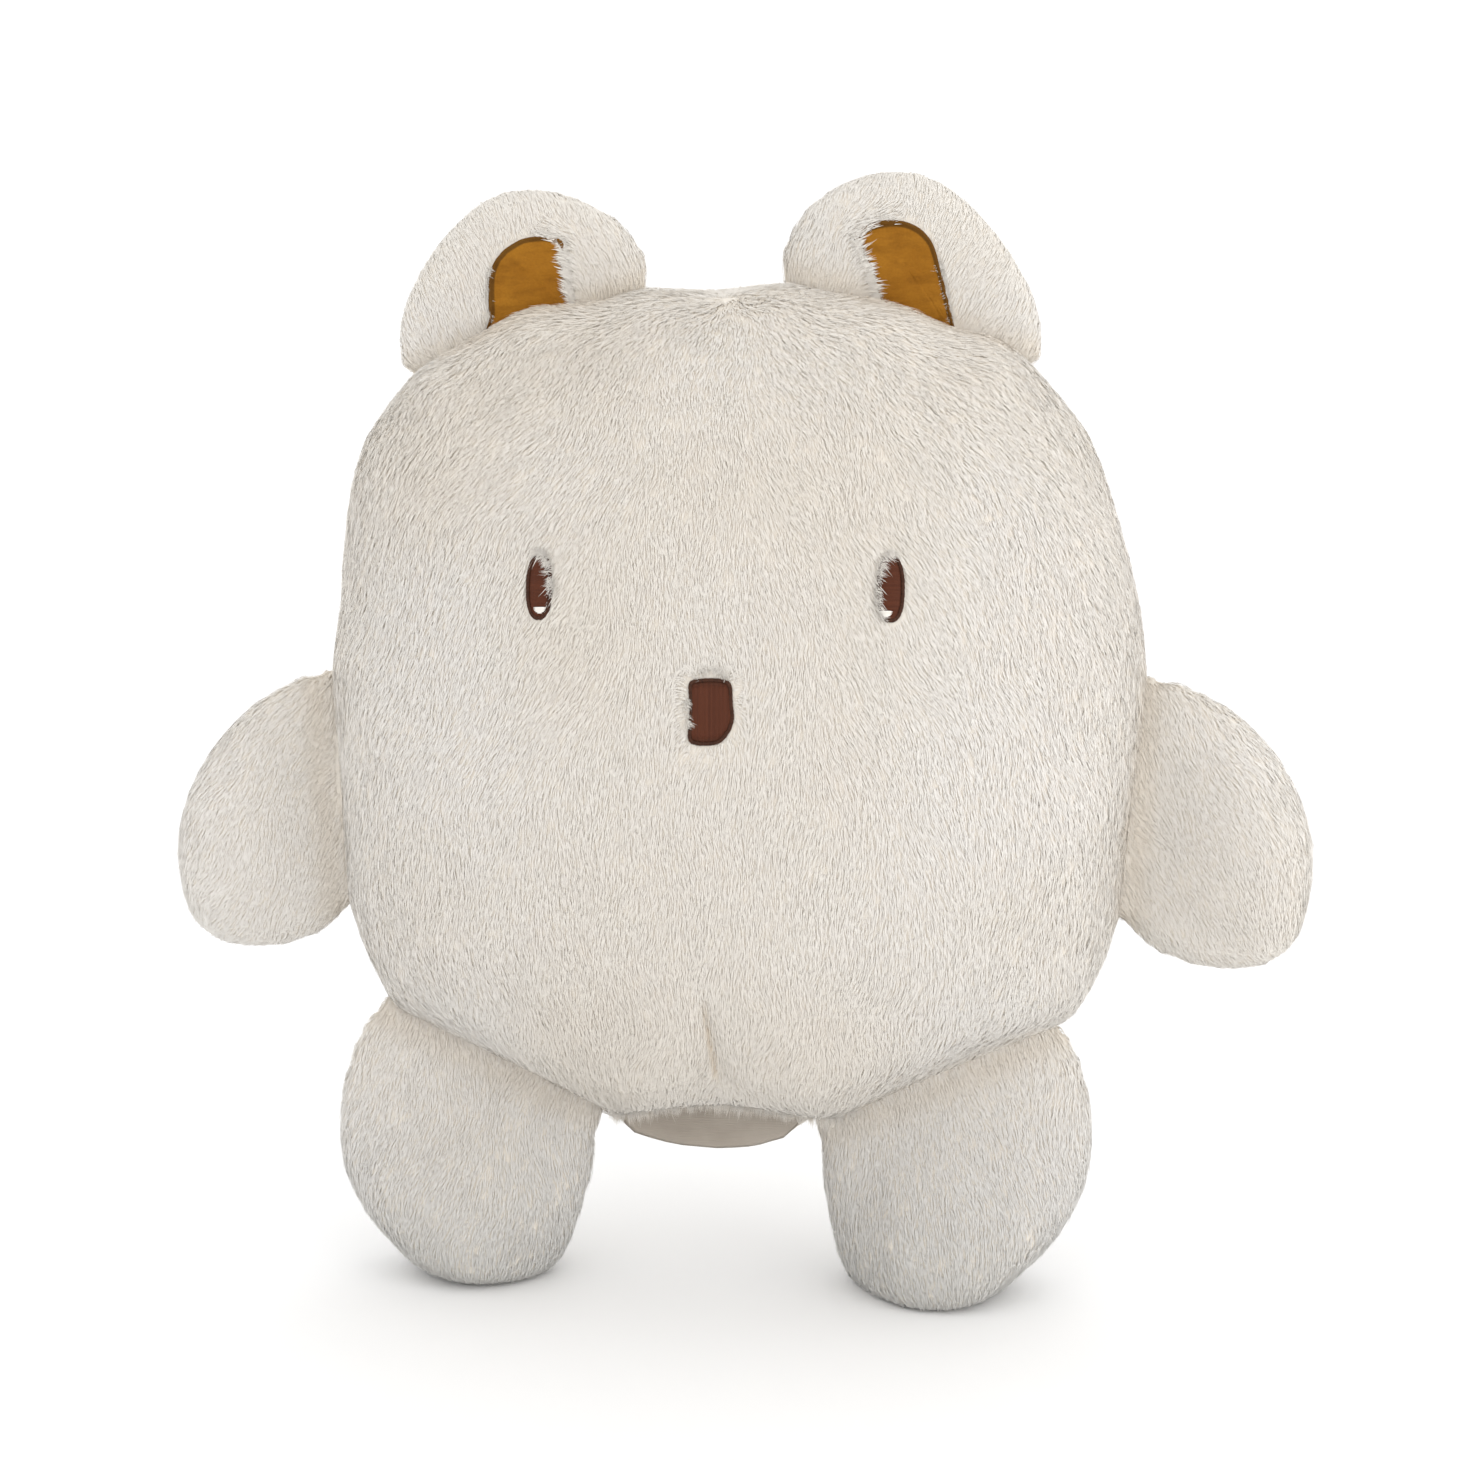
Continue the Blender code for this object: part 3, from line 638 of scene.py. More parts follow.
def lean_limb(limb, points):
    """A limb's points, moved and widened by the way that it leans."""
    place, out = hinge_frame(limb)
    along = np.array((-out[2], 0, out[0]))
    low, high = (np.array(corner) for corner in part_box(f"{limb}_front_panel"))
    corners = [np.array((x, seam_y, z)) for x in (low[0], high[0]) for z in (low[2], high[2])]
    reach = max((corner - place) @ out for corner in corners)
    root_shift, tip_shift, (root_wide, tip_wide) = limb_leans[limb]
    share = smooth_step((points - place) @ out, 0.0, reach * 0.8)
    wider = root_wide + (tip_wide - root_wide) * share - 1
    moved = points + np.outer((points - place) @ along * wider, along)
    moved[:, 0] += root_shift[0] + (tip_shift[0] - root_shift[0]) * share
    moved[:, 2] += root_shift[1] + (tip_shift[1] - root_shift[1]) * share
    low = 1 - smooth_step(points[:, 2], 0.006, 0.040)
    if limb == "leg_right":
        outer_toe = 0.4 * smooth_step(seam_y - points[:, 1], 0.006, 0.022)
        outer_toe += 0.6 * smooth_step(-points[:, 0], 0.062, 0.095)
        moved[:, 2] += toe_lift * low * outer_toe
    if limb == "leg_left":
        moved[:, 1] -= toe_lift * 1.3 * low * smooth_step(seam_y - points[:, 1], 0.004, 0.020)
    moved[:, 2] = np.maximum(moved[:, 2], sole_height)
    return moved


# Pile


def tuft_centres(points, size, seed):
    """For each point the nearest of the jittered centres of a lattice of tufts, and its cell."""
    cells = np.floor(points / size).astype(np.int64)
    best = np.full(len(points), np.inf)
    centre = np.zeros_like(points)
    cell_found = np.zeros_like(cells)
    for step in np.ndindex(3, 3, 3):
        cell = cells + np.array(step) - 1
        jitter = np.stack([lattice_value(cell, seed + k) for k in range(3)], 1)
        place = (cell + jitter) * size
        distance = ((points - place) ** 2).sum(1)
        nearer = distance < best
        best[nearer] = distance[nearer]
        centre[nearer] = place[nearer]
        cell_found[nearer] = cell[nearer]
    return centre, cell_found


def scattered(mesh, density, keep, rng):
    """Points spread evenly over a mesh, with their normals."""
    points, triangles, normals = mesh_arrays(mesh)
    a, b, c = (points[triangles[:, k]] for k in range(3))
    area = np.linalg.norm(np.cross(b - a, c - a), axis=1) / 2
    count = int(area.sum() * density)
    chosen = rng.choice(len(triangles), count, p=area / area.sum())
    u, v = rng.random(count), rng.random(count)
    over = u + v > 1
    u[over], v[over] = 1 - u[over], 1 - v[over]
    weights = np.stack([1 - u - v, u, v], 1)[:, :, None]
    corners = triangles[chosen]
    roots = (points[corners] * weights).sum(1)
    outward = unit((normals[corners] * weights).sum(1))
    kept = keep(roots, outward)
    return roots[kept], outward[kept]


def laid_over(skin, spots, heights):
    """Spots brought to some heights over a skin, and the way that it faces there."""
    tree = tree_of(skin.data)
    laid, facings = spots.copy(), np.empty_like(spots)
    for k, (spot, height) in enumerate(zip(spots.tolist(), heights.tolist())):
        place, facing, _, _ = tree.find_nearest(spot)
        laid[k] = place + facing * height
        facings[k] = facing
    return laid, facings


def grow_pile(name, skin, comb_of, keep, shares_of, crease_shade_of, coolness_of, seed):
    """Tapered flat strands over a skin, gathered in tufts, in as many pieces as their number asks."""
    rng = np.random.default_rng(seed)
    roots, outward = scattered(skin.data, strand_density, keep, rng)
    count = len(roots)
    comb, (reach_share, rise_share), crease_shade = comb_of(roots, outward), shares_of(roots), crease_shade_of(roots)
    centre, cell = tuft_centres(roots, tuft_size, seed)
    tuft_random = np.stack([lattice_value(cell, seed + 10 + k) for k in range(3)], 1)
    lie = unit(comb - outward * (comb * outward).sum(1, keepdims=True))
    across = np.cross(outward, lie)
    sway = 0.38 * smooth_noise(roots, 0.020, seed + 20) + 0.16 * smooth_noise(roots, 0.007, seed + 21)
    sway += 0.22 * (tuft_random[:, 0] - 0.5) + 0.25 * (rng.random(count) - 0.5)
    lie = lie * np.cos(sway)[:, None] + across * np.sin(sway)[:, None]
    long = rng.random(count) < long_share
    uneven = 0.75 + 0.20 * tuft_random[:, 1] + 0.30 * rng.random(count)
    length = pile_length * reach_share * np.where(long, long_length, 1) * uneven
    uneven = 0.74 + 0.18 * tuft_random[:, 2] + 0.34 * rng.random(count)
    rise = pile_rise * rise_share * np.where(long, long_rise, 1) * uneven
    root = roots - outward * strand_root_depth
    tip = roots + outward * rise[:, None] + lie * (length * 0.9)[:, None]
    to_centre = centre - roots
    to_centre -= outward * (to_centre * outward).sum(1, keepdims=True)
    tip, tip_outward = laid_over(skin, tip + to_centre * tuft_gather, rise)
    bend = roots + outward * (rise * 0.75)[:, None] + lie * (length * 0.32)[:, None]

    coolness = np.clip(coolness_of(roots) + 0.45 * smooth_noise(roots, 0.040, 40), 0, 1)
    strand_tone = 0.5 * tuft_random[:, 1] + 0.5 * rng.random(count)
    middle_tone = 0.52 + 0.14 * strand_tone
    # The foot of each strand is painted darker as shade deep in the pile
    low_tone = np.full(count, foot_tone)
    tones = np.stack([low_tone, low_tone, middle_tone, middle_tone, 0.74 + 0.20 * strand_tone], 1)
    # Painted shade: strands in the creases darken towards tan
    tones *= (1 - crease_shade)[:, None]
    facing = np.stack([unit(outward - to_centre * 13)] * 4 + [unit(tip_outward - to_centre * 13)], 1)
    order = np.argsort(roots[:, 2], kind="stable")
    batches = max(1, math.ceil(count / strands_per_piece))
    pieces = []
    for k, batch in enumerate(np.array_split(order, batches)):
        label = name if batches == 1 else f"{name}_{k + 1}"
        parts = (each[batch] for each in (root, bend, tip, outward, facing, tones, coolness))
        pieces.append(strand_piece(label, *parts, strand_width, rng))
    return pieces


def strand_piece(name, root, bend, tip, outward, facing, tones, coolness, width, rng):
    """One object of flat strands, each tapered to its tip."""
    count = len(root)
    across = unit(np.cross(unit(tip - root), outward))
    turn = 0.5 * (rng.random(count) - 0.5)
    across = across * np.cos(turn)[:, None] + outward * np.sin(turn)[:, None]
    half = across * (width / 2 * (0.7 + 0.6 * rng.random(count)))[:, None]
    points = np.stack([root - half, root + half, bend - half * 0.9, bend + half * 0.9, tip], 1)
    pressed = floor_gap + (sole_height - floor_gap) * rng.random(count)
    points[:, :, 2] = np.maximum(points[:, :, 2], pressed[:, None])
    corner_pattern = np.array(((0, 1, 3), (0, 3, 2), (2, 3, 4)))
    faces = (np.arange(count)[:, None, None] * 5 + corner_pattern).reshape(-1, 3)
    piece = mesh_piece(name, points.reshape(-1, 3), faces, pile, tones.ravel(), facing.reshape(-1, 3))
    shades = piece.data.attributes.new("coolness", "FLOAT", "POINT")
    shades.data.foreach_set("value", np.repeat(coolness, 5).astype(np.float32))
    cells = math.ceil(math.sqrt(count))
    corners = np.array(((0.2, 0.1), (0.8, 0.1), (0.2, 0.5), (0.8, 0.5), (0.5, 0.9)))[corner_pattern.ravel()]
    cell = np.stack([np.arange(count) % cells, np.arange(count) // cells], 1)
    spots = (cell[:, None] + corners) / cells
    piece.data.uv_layers.new(name="OFBake").uv.foreach_set("vector", spots.astype(np.float32).ravel())
    return piece


def grow_locks(name, starts, leans, lengths, rise, place_of, seed, tone=1.0):
    """Locks of longer pile over the edge of another material, each of a few strands that meet at the tip."""
    rng = np.random.default_rng(seed)
    strands = 22
    count = len(starts) * strands
    start = np.repeat(starts, strands, 0) + rng.normal(0, 0.00050, (count, 2))
    lean = np.repeat(unit(leans), strands, 0)
    length = np.repeat(lengths, strands) * (0.65 + 0.5 * rng.random(count))
    height = np.repeat(rise * (0.8 + 0.4 * rng.random(len(starts))), strands)
    height = height * (0.8 + 0.4 * rng.random(count))
    spread = rng.normal(0, 0.00030, (count, 2))
    places, facings = [], []
    for share, lift, spreading in ((0.0, -0.0004, 0.0), (0.38, 1.0, 0.5), (1.0, 0.75, 1.0)):
        spots = start + lean * (length * share)[:, None] + spread * spreading
        found = [place_of(*spot) for spot in spots]
        normal = np.array([facing for _, facing in found])
        up = height * lift if lift > 0 else np.full(count, lift)
        places.append(np.array([spot for spot, _ in found]) + normal * up[:, None])
        facings.append(normal)
    # Darker at the foot and paler at the tip: painted shade deep in each lock
    tones = np.tile(np.array((0.2, 0.2, 0.55, 0.55, 0.8)), (count, 1))
    facing = np.repeat(facings[0][:, None], 5, 1)
    coolness = np.full(count, 0.5)
    return strand_piece(name, *places, facings[0], facing, tones * tone, coolness, lock_width, rng)


# Stitching and patches


def thread_tubes(name, paths, facings, material, seed):
    """Round threads along paths that all have the same number of points, pinched at both ends."""
    count, steps = paths.shape[:2]
    run = unit(np.gradient(paths, axis=1))
    side = unit(np.cross(run, facings))
    lift = np.cross(side, run)
    taper = np.ones(steps)
    taper[[0, -1]] = 0.25
    turns = np.arange(6) / 6 * 2 * np.pi
    ring = side[:, :, None] * np.cos(turns)[:, None] + lift[:, :, None] * np.sin(turns)[:, None]
    points = paths[:, :, None] + ring * (thread_radius * taper)[:, None, None]
    first = np.arange(count)[:, None, None] * steps * 6 + np.arange(steps - 1)[:, None] * 6
    here, there = np.arange(6), (np.arange(6) + 1) % 6
    faces = np.stack([first + here, first + there, first + there + 6, first + here + 6], -1).reshape(-1, 4)
    tones = np.repeat(np.random.default_rng(seed).random(count), steps * 6)
    return mesh_piece(name, points.reshape(-1, 3), faces, material, tones)


def domed_sheet(name, outline, rings, place_of, material, tones=None):
    """A closed sheet over an outline, in rings at shares of its reach and heights above what it lies on."""
    middle = outline.mean(0)
    count = len(outline)
    points = []
    for share, height in rings:
        for spot in middle + (outline - middle) * share:
            place, facing = place_of(*spot)
            points.append(np.array(place) + np.array(facing) * height)
    place, facing = (np.array(each) for each in place_of(*middle))
    points += [place + facing * rings[0][1], place + facing * rings[-1][1]]
    top, foot = len(points) - 2, len(points) - 1
    corners = np.arange(count)
    following = (corners + 1) % count
    faces = [(top, a, b) for a, b in zip(corners, following)]
    for k in range(len(rings) - 1):
        a, b = k * count, (k + 1) * count
        faces += [(a + i, b + i, b + j) for i, j in zip(corners, following)]
        faces += [(a + i, b + j, a + j) for i, j in zip(corners, following)]
    base = (len(rings) - 1) * count
    faces += [(foot, base + j, base + i) for i, j in zip(corners, following)]
    tone = np.ones(len(points)) if tones is None else np.append(np.repeat(tones, count), (1.0, 1.0))
    return mesh_piece(name, np.array(points), np.array(faces), material, tone)


def stitched(name, outline, upright, seed):
    """A padded shape of satin stitch: a pad, threads that fill it, and a border of short ones."""
    half = (outline.max(0) - outline.min(0)) / 2

    def height_at(flat):
        share = np.minimum(share_of_reach(outline, flat), 1)
        return pad_edge_height + (pad_height - pad_edge_height) * np.sqrt(1 - share**2)

    def laid(flat, lift):
        return laid_on_body(flat, height_at(flat.reshape(-1, 2)) + lift.ravel())

    rings = []
    for share in (0.3, 0.6, 0.85):
        beside = outline.mean(0) + np.array([[half[0] * share, 0]])
        rings.append((share, float(height_at(beside)[0])))
    rings += [(1.0, 0.0001), (0.98, -0.0006)]
    pieces = [domed_sheet(f"{name}_pad", outline, rings, front_of_body, dark_thread)]
    run, step = (1, 0) if upright else (0, 1)
    steps = 9
    share = np.linspace(0, 1, steps)
    paths = []
    low, high = outline.min(0), outline.max(0)
    for level in np.arange(low[step] + border_width * 0.5, high[step] - border_width * 0.4, thread_spacing):
        ends = []
        for a, b in zip(outline, np.roll(outline, -1, 0)):
            if (a[step] - level) * (b[step] - level) < 0:
                ends.append(a[run] + (b[run] - a[run]) * (level - a[step]) / (b[step] - a[step]))
        if len(ends) >= 2 and max(ends) - min(ends) > border_width * 1.4:
            path = np.empty((steps, 2))
            start, end = min(ends) + border_width * 0.6, max(ends) - border_width * 0.6
            path[:, run] = start + (end - start) * share
            path[:, step] = level
            paths.append(path)
    flat = np.array(paths)
    lift = np.tile(0.00012 * np.sin(np.pi * share), (len(flat), 1))
    pieces.append(thread_tubes(f"{name}_fill", *laid(flat, lift), brown_thread, seed))

    edge = evenly_round(outline, lambda length: int(length / thread_spacing))
    along = unit(np.roll(edge, -1, 0) - np.roll(edge, 1, 0))
    inward = np.stack([-along[:, 1], along[:, 0]], 1)
    inward *= np.sign(((outline.mean(0) - edge) * inward).sum(1, keepdims=True))
    steps = 6
    share = np.linspace(0, 1, steps)
    jitter = 0.00012 * (np.random.default_rng(seed).random((len(edge), 1, 1)) - 0.5)
    flat = edge[:, None] + inward[:, None] * (border_width * share[None, :, None] - 0.00015 + jitter)
    lift = np.tile(0.00008 + 0.00028 * np.sin(np.pi * share) ** 0.7, (len(edge), 1))
    pieces.append(thread_tubes(f"{name}_border", *laid(flat, lift), dark_thread, seed + 1))
    return pieces


# Body
body_nodes = ("body_front_panel", "body_back_panel", "body_front_stuffing", "body_back_stuffing")


def hold_of_body(points):
    """How firmly the seam, the lips and the pouch hold the body's skin."""
    beside = np.abs(points[:, 1] - seam_y)
    return np.maximum(1 - smooth_step(beside, 0.006, 0.014), 1 - smooth_step(points[:, 2], 0.058, 0.072))


def dart_shares(points):
    """How far points are along the dart, from 0 at its foot to 1 at its top, and how far beside it."""
    run = dart_top - dart_foot
    length = np.linalg.norm(run)
    flat = points[:, (0, 2)] - dart_foot
    return flat @ run / length**2, np.abs(flat @ np.array((run[1], -run[0])) / length)


def widened_lip(points):
    """The back lip of the pouch hangs wider on the viewer's left."""
    moved = points.copy()
    share = 1 - smooth_step(points[:, 2], 0.043, 0.064)
    share *= smooth_step(points[:, 1], seam_y + 0.001, seam_y + 0.004)
    moved[:, 0] += lip_widening * np.minimum(points[:, 0] - 0.004, 0) * share
    moved[:, 2] -= lip_drop * share
    return moved


body_skin = make_skin("body_skin", body_nodes, hold_of_body)
body_points = widened_lip(lean_body(points_of(body_skin.data)))
share, aside = dart_shares(body_points)
groove = bell(aside, 0, dart_width) * smooth_step(share, -0.5, 0.1) * (1 - smooth_step(share, 0.6, 1.15))
groove *= body_points[:, 1] < seam_y - 0.02
body_points[:, 1] += dart_depth * groove
move_points(body_skin.data, body_points)
body_tree = tree_of(body_skin.data)


def front_of(tree, x, z):
    """The place on the front of a skin, and the way that it faces."""
    hit, facing, _, _ = tree.ray_cast(Vector((x, -1, z)), Vector((0, 1, 0)))
    return hit, facing


def front_of_body(x, z):
    return front_of(body_tree, x, z)


def laid_on_body(flat, heights):
    """Rows of flat points at some heights over the front of the body, and the way that it faces there."""
    found = [front_of_body(*spot) for spot in flat.reshape(-1, 2)]
    facing = np.array([each for _, each in found])
    place = np.array([each for each, _ in found]) + facing * heights[:, None]
    return place.reshape(*flat.shape[:2], 3), facing.reshape(*flat.shape[:2], 3)


turns = np.arange(96) / 96 * 2 * np.pi
rounded = np.stack([np.cos(turns), np.sin(turns)], 1)
rounded = np.sign(rounded) * np.abs(rounded) ** 0.82
outlines = {
    eye: np.array(place) + rounded * np.array(eye_halves)
    for eye, place in eye_places.items()
}
outlines["nose_patch"] = np.array(nose_place) + closed_curve(nose_shares, 8) * np.array(nose_halves)


def off_features(roots):
    """Points that aren't on the stitched eyes and nose."""
    on_back = roots[:, 1] > seam_y - 0.03
    clear = np.ones(len(roots), bool)
    for outline in outlines.values():
        clear &= (share_of_reach(outline, roots[:, (0, 2)]) > 0.97) | on_back
    return clear


def on_outside_of_body(roots, outward):
    """Points of the skin that aren't in the pouch or under a stitched part."""
    side = np.sign(roots[:, 1] - seam_y)
    on_crown = (roots[:, 2] > 0.25) & (outward[:, 2] > 0.15)
    under_lip = (roots[:, 2] < 0.056) & (side > 0) & (outward[:, 1] < 0.3)
    return ((outward[:, 1] * side > -0.35) | on_crown) & ~under_lip & off_features(roots)


def nose_nearness(roots):
    """1 beside the nose, falling to 0 a little way off."""
    share = share_of_reach(outlines["nose_patch"], roots[:, (0, 2)])
    return (1 - smooth_step(share, 1.0, 1.75)) * (roots[:, 1] < seam_y - 0.03)


def body_comb(roots, outward):
    """The pile runs down and outwards, and parts round the nose."""
    fan = np.zeros_like(roots)
    fan[:, 0] = 0.5 * np.clip(roots[:, 0] / 0.05, -1, 1) * smooth_step(roots[:, 2], 0.11, 0.19)
    stray = np.stack([smooth_noise(roots, 0.008, 52 + k) for k in range(3)], 1)
    from_nose = roots - np.array((nose_place[0], 0, nose_place[1]))
    from_nose[:, 1] = 0
    comb = down + fan + stray * 0.14 + unit(from_nose) * 2.2 * nose_nearness(roots)[:, None]
    on_crown = smooth_step(outward[:, 2], 0.45, 0.85)
    comb[:, 0] += 1.3 * on_crown * np.clip(roots[:, 0] / 0.03, -1, 1)
    comb[:, 1] += 0.7 * on_crown
    return comb


def body_shares(roots):
    """How far along and how high the pile reaches: it stands up on the crown and hangs long at the lips."""
    beside = smooth_step(np.abs(roots[:, 1] - seam_y), 0.010, 0.024)
    crown = smooth_step(roots[:, 2], 0.284, 0.303) * (1 - beside)
    lips = 1 - smooth_step(roots[:, 2], 0.056, 0.066)
    reach = (1 - 0.2 * crown) * (1 + 0.45 * lips) * (1 - 0.4 * nose_nearness(roots))
    return reach, 1 + 0.3 * crown + 0.3 * lips


def body_crease_shade(roots):
    """How much painted shade darkens a strand that stands deep in the dart or against a limb's root."""
    crease_shade = np.zeros(len(roots))
    for limb in hinges:
        place, out = hinge_frame(limb)
        along = np.array((-out[2], 0, out[0]))
        extent = limb_creases[limb.split("_")[0]]
        inwards = np.abs((roots - place) @ out)
        beyond = np.maximum(0, np.abs((roots - place) @ along) - extent)
        apart = -((inwards / crease_shade_width) ** 2) - (beyond / crease_shade_width) ** 2
        crease_shade = np.maximum(crease_shade, 0.6 * np.exp(apart))
    share, aside = dart_shares(roots)
    in_dart = bell(aside, 0, dart_shade_width) * smooth_step(share, -0.5, -0.1)
    in_dart *= 1 - smooth_step(share, 0.8, 1.05)
    return np.maximum(crease_shade, 0.75 * in_dart * (roots[:, 1] < seam_y - 0.02))


def body_coolness(roots):
    """The cheeks and flanks are cooler than the brow, the crown and the middle."""
    aside = smooth_step(np.abs(roots[:, 0]), 0.03, 0.075)
    return 0.25 + 0.6 * aside * (1 - smooth_step(roots[:, 2], 0.20, 0.26))


def limb_coolness(roots):
    return np.full(len(roots), 0.8)


body_traits = (body_comb, on_outside_of_body, body_shares, body_crease_shade, body_coolness)
for strands in grow_pile("body_pile", body_skin, *body_traits, 3):
    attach(strands, "torso")
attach(body_skin, "torso")
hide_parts(*body_nodes)

# Face
for k, (name, outline) in enumerate(outlines.items()):
    pieces = stitched(name, outline, name == "nose_patch", 60 + 7 * k)
    for piece in pieces:
        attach(piece, "torso")
    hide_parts(name)
for k, (name, place) in enumerate(glint_places.items()):
    rows = []
    for level in np.arange(-0.9, 0.95, 0.44):
        reach = math.sqrt(max(0.05, 1 - ((level - 0.9) / 1.95) ** 2))
        z = place[1] + glint_halves[1] * level
        rows.append([(place[0] + glint_halves[0] * reach * t, z) for t in np.linspace(-1, 1, glint_steps)])
    arch = np.sin(np.pi * np.linspace(0, 1, glint_steps))
    lift = pad_height + 0.00030 + 0.00012 * np.tile(arch, len(rows))
    piece = thread_tubes(f"{name}_fill", *laid_on_body(np.array(rows), lift), white_thread, 90 + k)
    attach(piece, "torso")
    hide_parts(name)

# Ragged pile that hangs from the front lip, the lower row painted darker as shade where the lip turns under
across_lip = np.linspace(-0.042, 0.050, 93)
lip_heights = []
for x in across_lip:
    column = [(z, front_of_body(x, z)[0]) for z in np.arange(0.090, 0.040, -0.0004)]
    lip_heights.append(min(z for z, hit in column if hit and hit.y < seam_y - 0.004))


def under_lip(x, z):
    """A place on the front lip, or straight under it, facing forwards."""
    hit, _ = front_of_body(x, max(z, np.interp(x, across_lip, lip_heights) + 0.0004))
    return Vector((x, hit.y, z)), Vector((0, -0.97, 0.25))


rng = np.random.default_rng(71)
for row, (rows_up, count, tone) in enumerate(lip_rows):
    x = rng.uniform(*lip_span, count)
    lip = np.interp(x, across_lip, lip_heights)
    starts = np.stack([x, lip + rows_up * rng.uniform(0.4, 1.6, count)], 1)
    lean = np.stack([rng.normal(0, 0.28, count), np.full(count, -1.0)], 1)
    reach = rng.uniform(0.0026, 0.0056, count)
    rise = 0.0011 - 0.0010 * row
    locks = grow_locks(f"lip_locks_{row + 1}", starts, lean, reach, rise, under_lip, 45 + row, tone)
    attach(locks, "torso")

# Locks over the stitching: how far round from the outer side, the way they lean and how long they are
rng = np.random.default_rng(77)
for name, place in eye_places.items():
    outward_x = np.sign(place[0])
    lowest = 238 if name == "eye_left" else 196
    turn = np.radians(np.concatenate([rng.uniform(75, 118, 9), rng.uniform(100, lowest, 30)]))
    ring = np.stack([outward_x * np.cos(turn), np.sin(turn)], 1)
    edge = np.array(place) + ring * np.array(eye_halves) * 1.10
    lean = np.stack([outward_x * rng.uniform(0.7, 1.3, len(turn)), rng.uniform(-0.9, 0.1, len(turn))], 1)
    reach = rng.uniform(0.0009, 0.0026, len(turn)) * np.where(np.sin(turn) > 0.2, 1.1, 0.65)
    locks = grow_locks(f"{name}_locks", edge, lean, reach, 0.0013, front_of_body, 31)
    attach(locks, "torso")
turn = np.radians(np.concatenate([rng.uniform(150, 200, 10), rng.uniform(55, 125, 16)]))
above = np.sin(turn) > 0.75
ring = np.stack([np.cos(turn), np.sin(turn)], 1)
edge = np.array(nose_place) + ring * np.array(nose_halves) * np.where(above, 1.22, 1.14)[:, None]
lean = np.where(above[:, None], np.array((0.1, 1.0)), np.array((0.9, -0.5)))
lean = lean + rng.normal(0, 0.25, edge.shape)
reach = rng.uniform(0.0010, 0.0022, len(turn))
locks = grow_locks("nose_locks", edge, lean, reach, 0.0012, front_of_body, 32)
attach(locks, "torso")

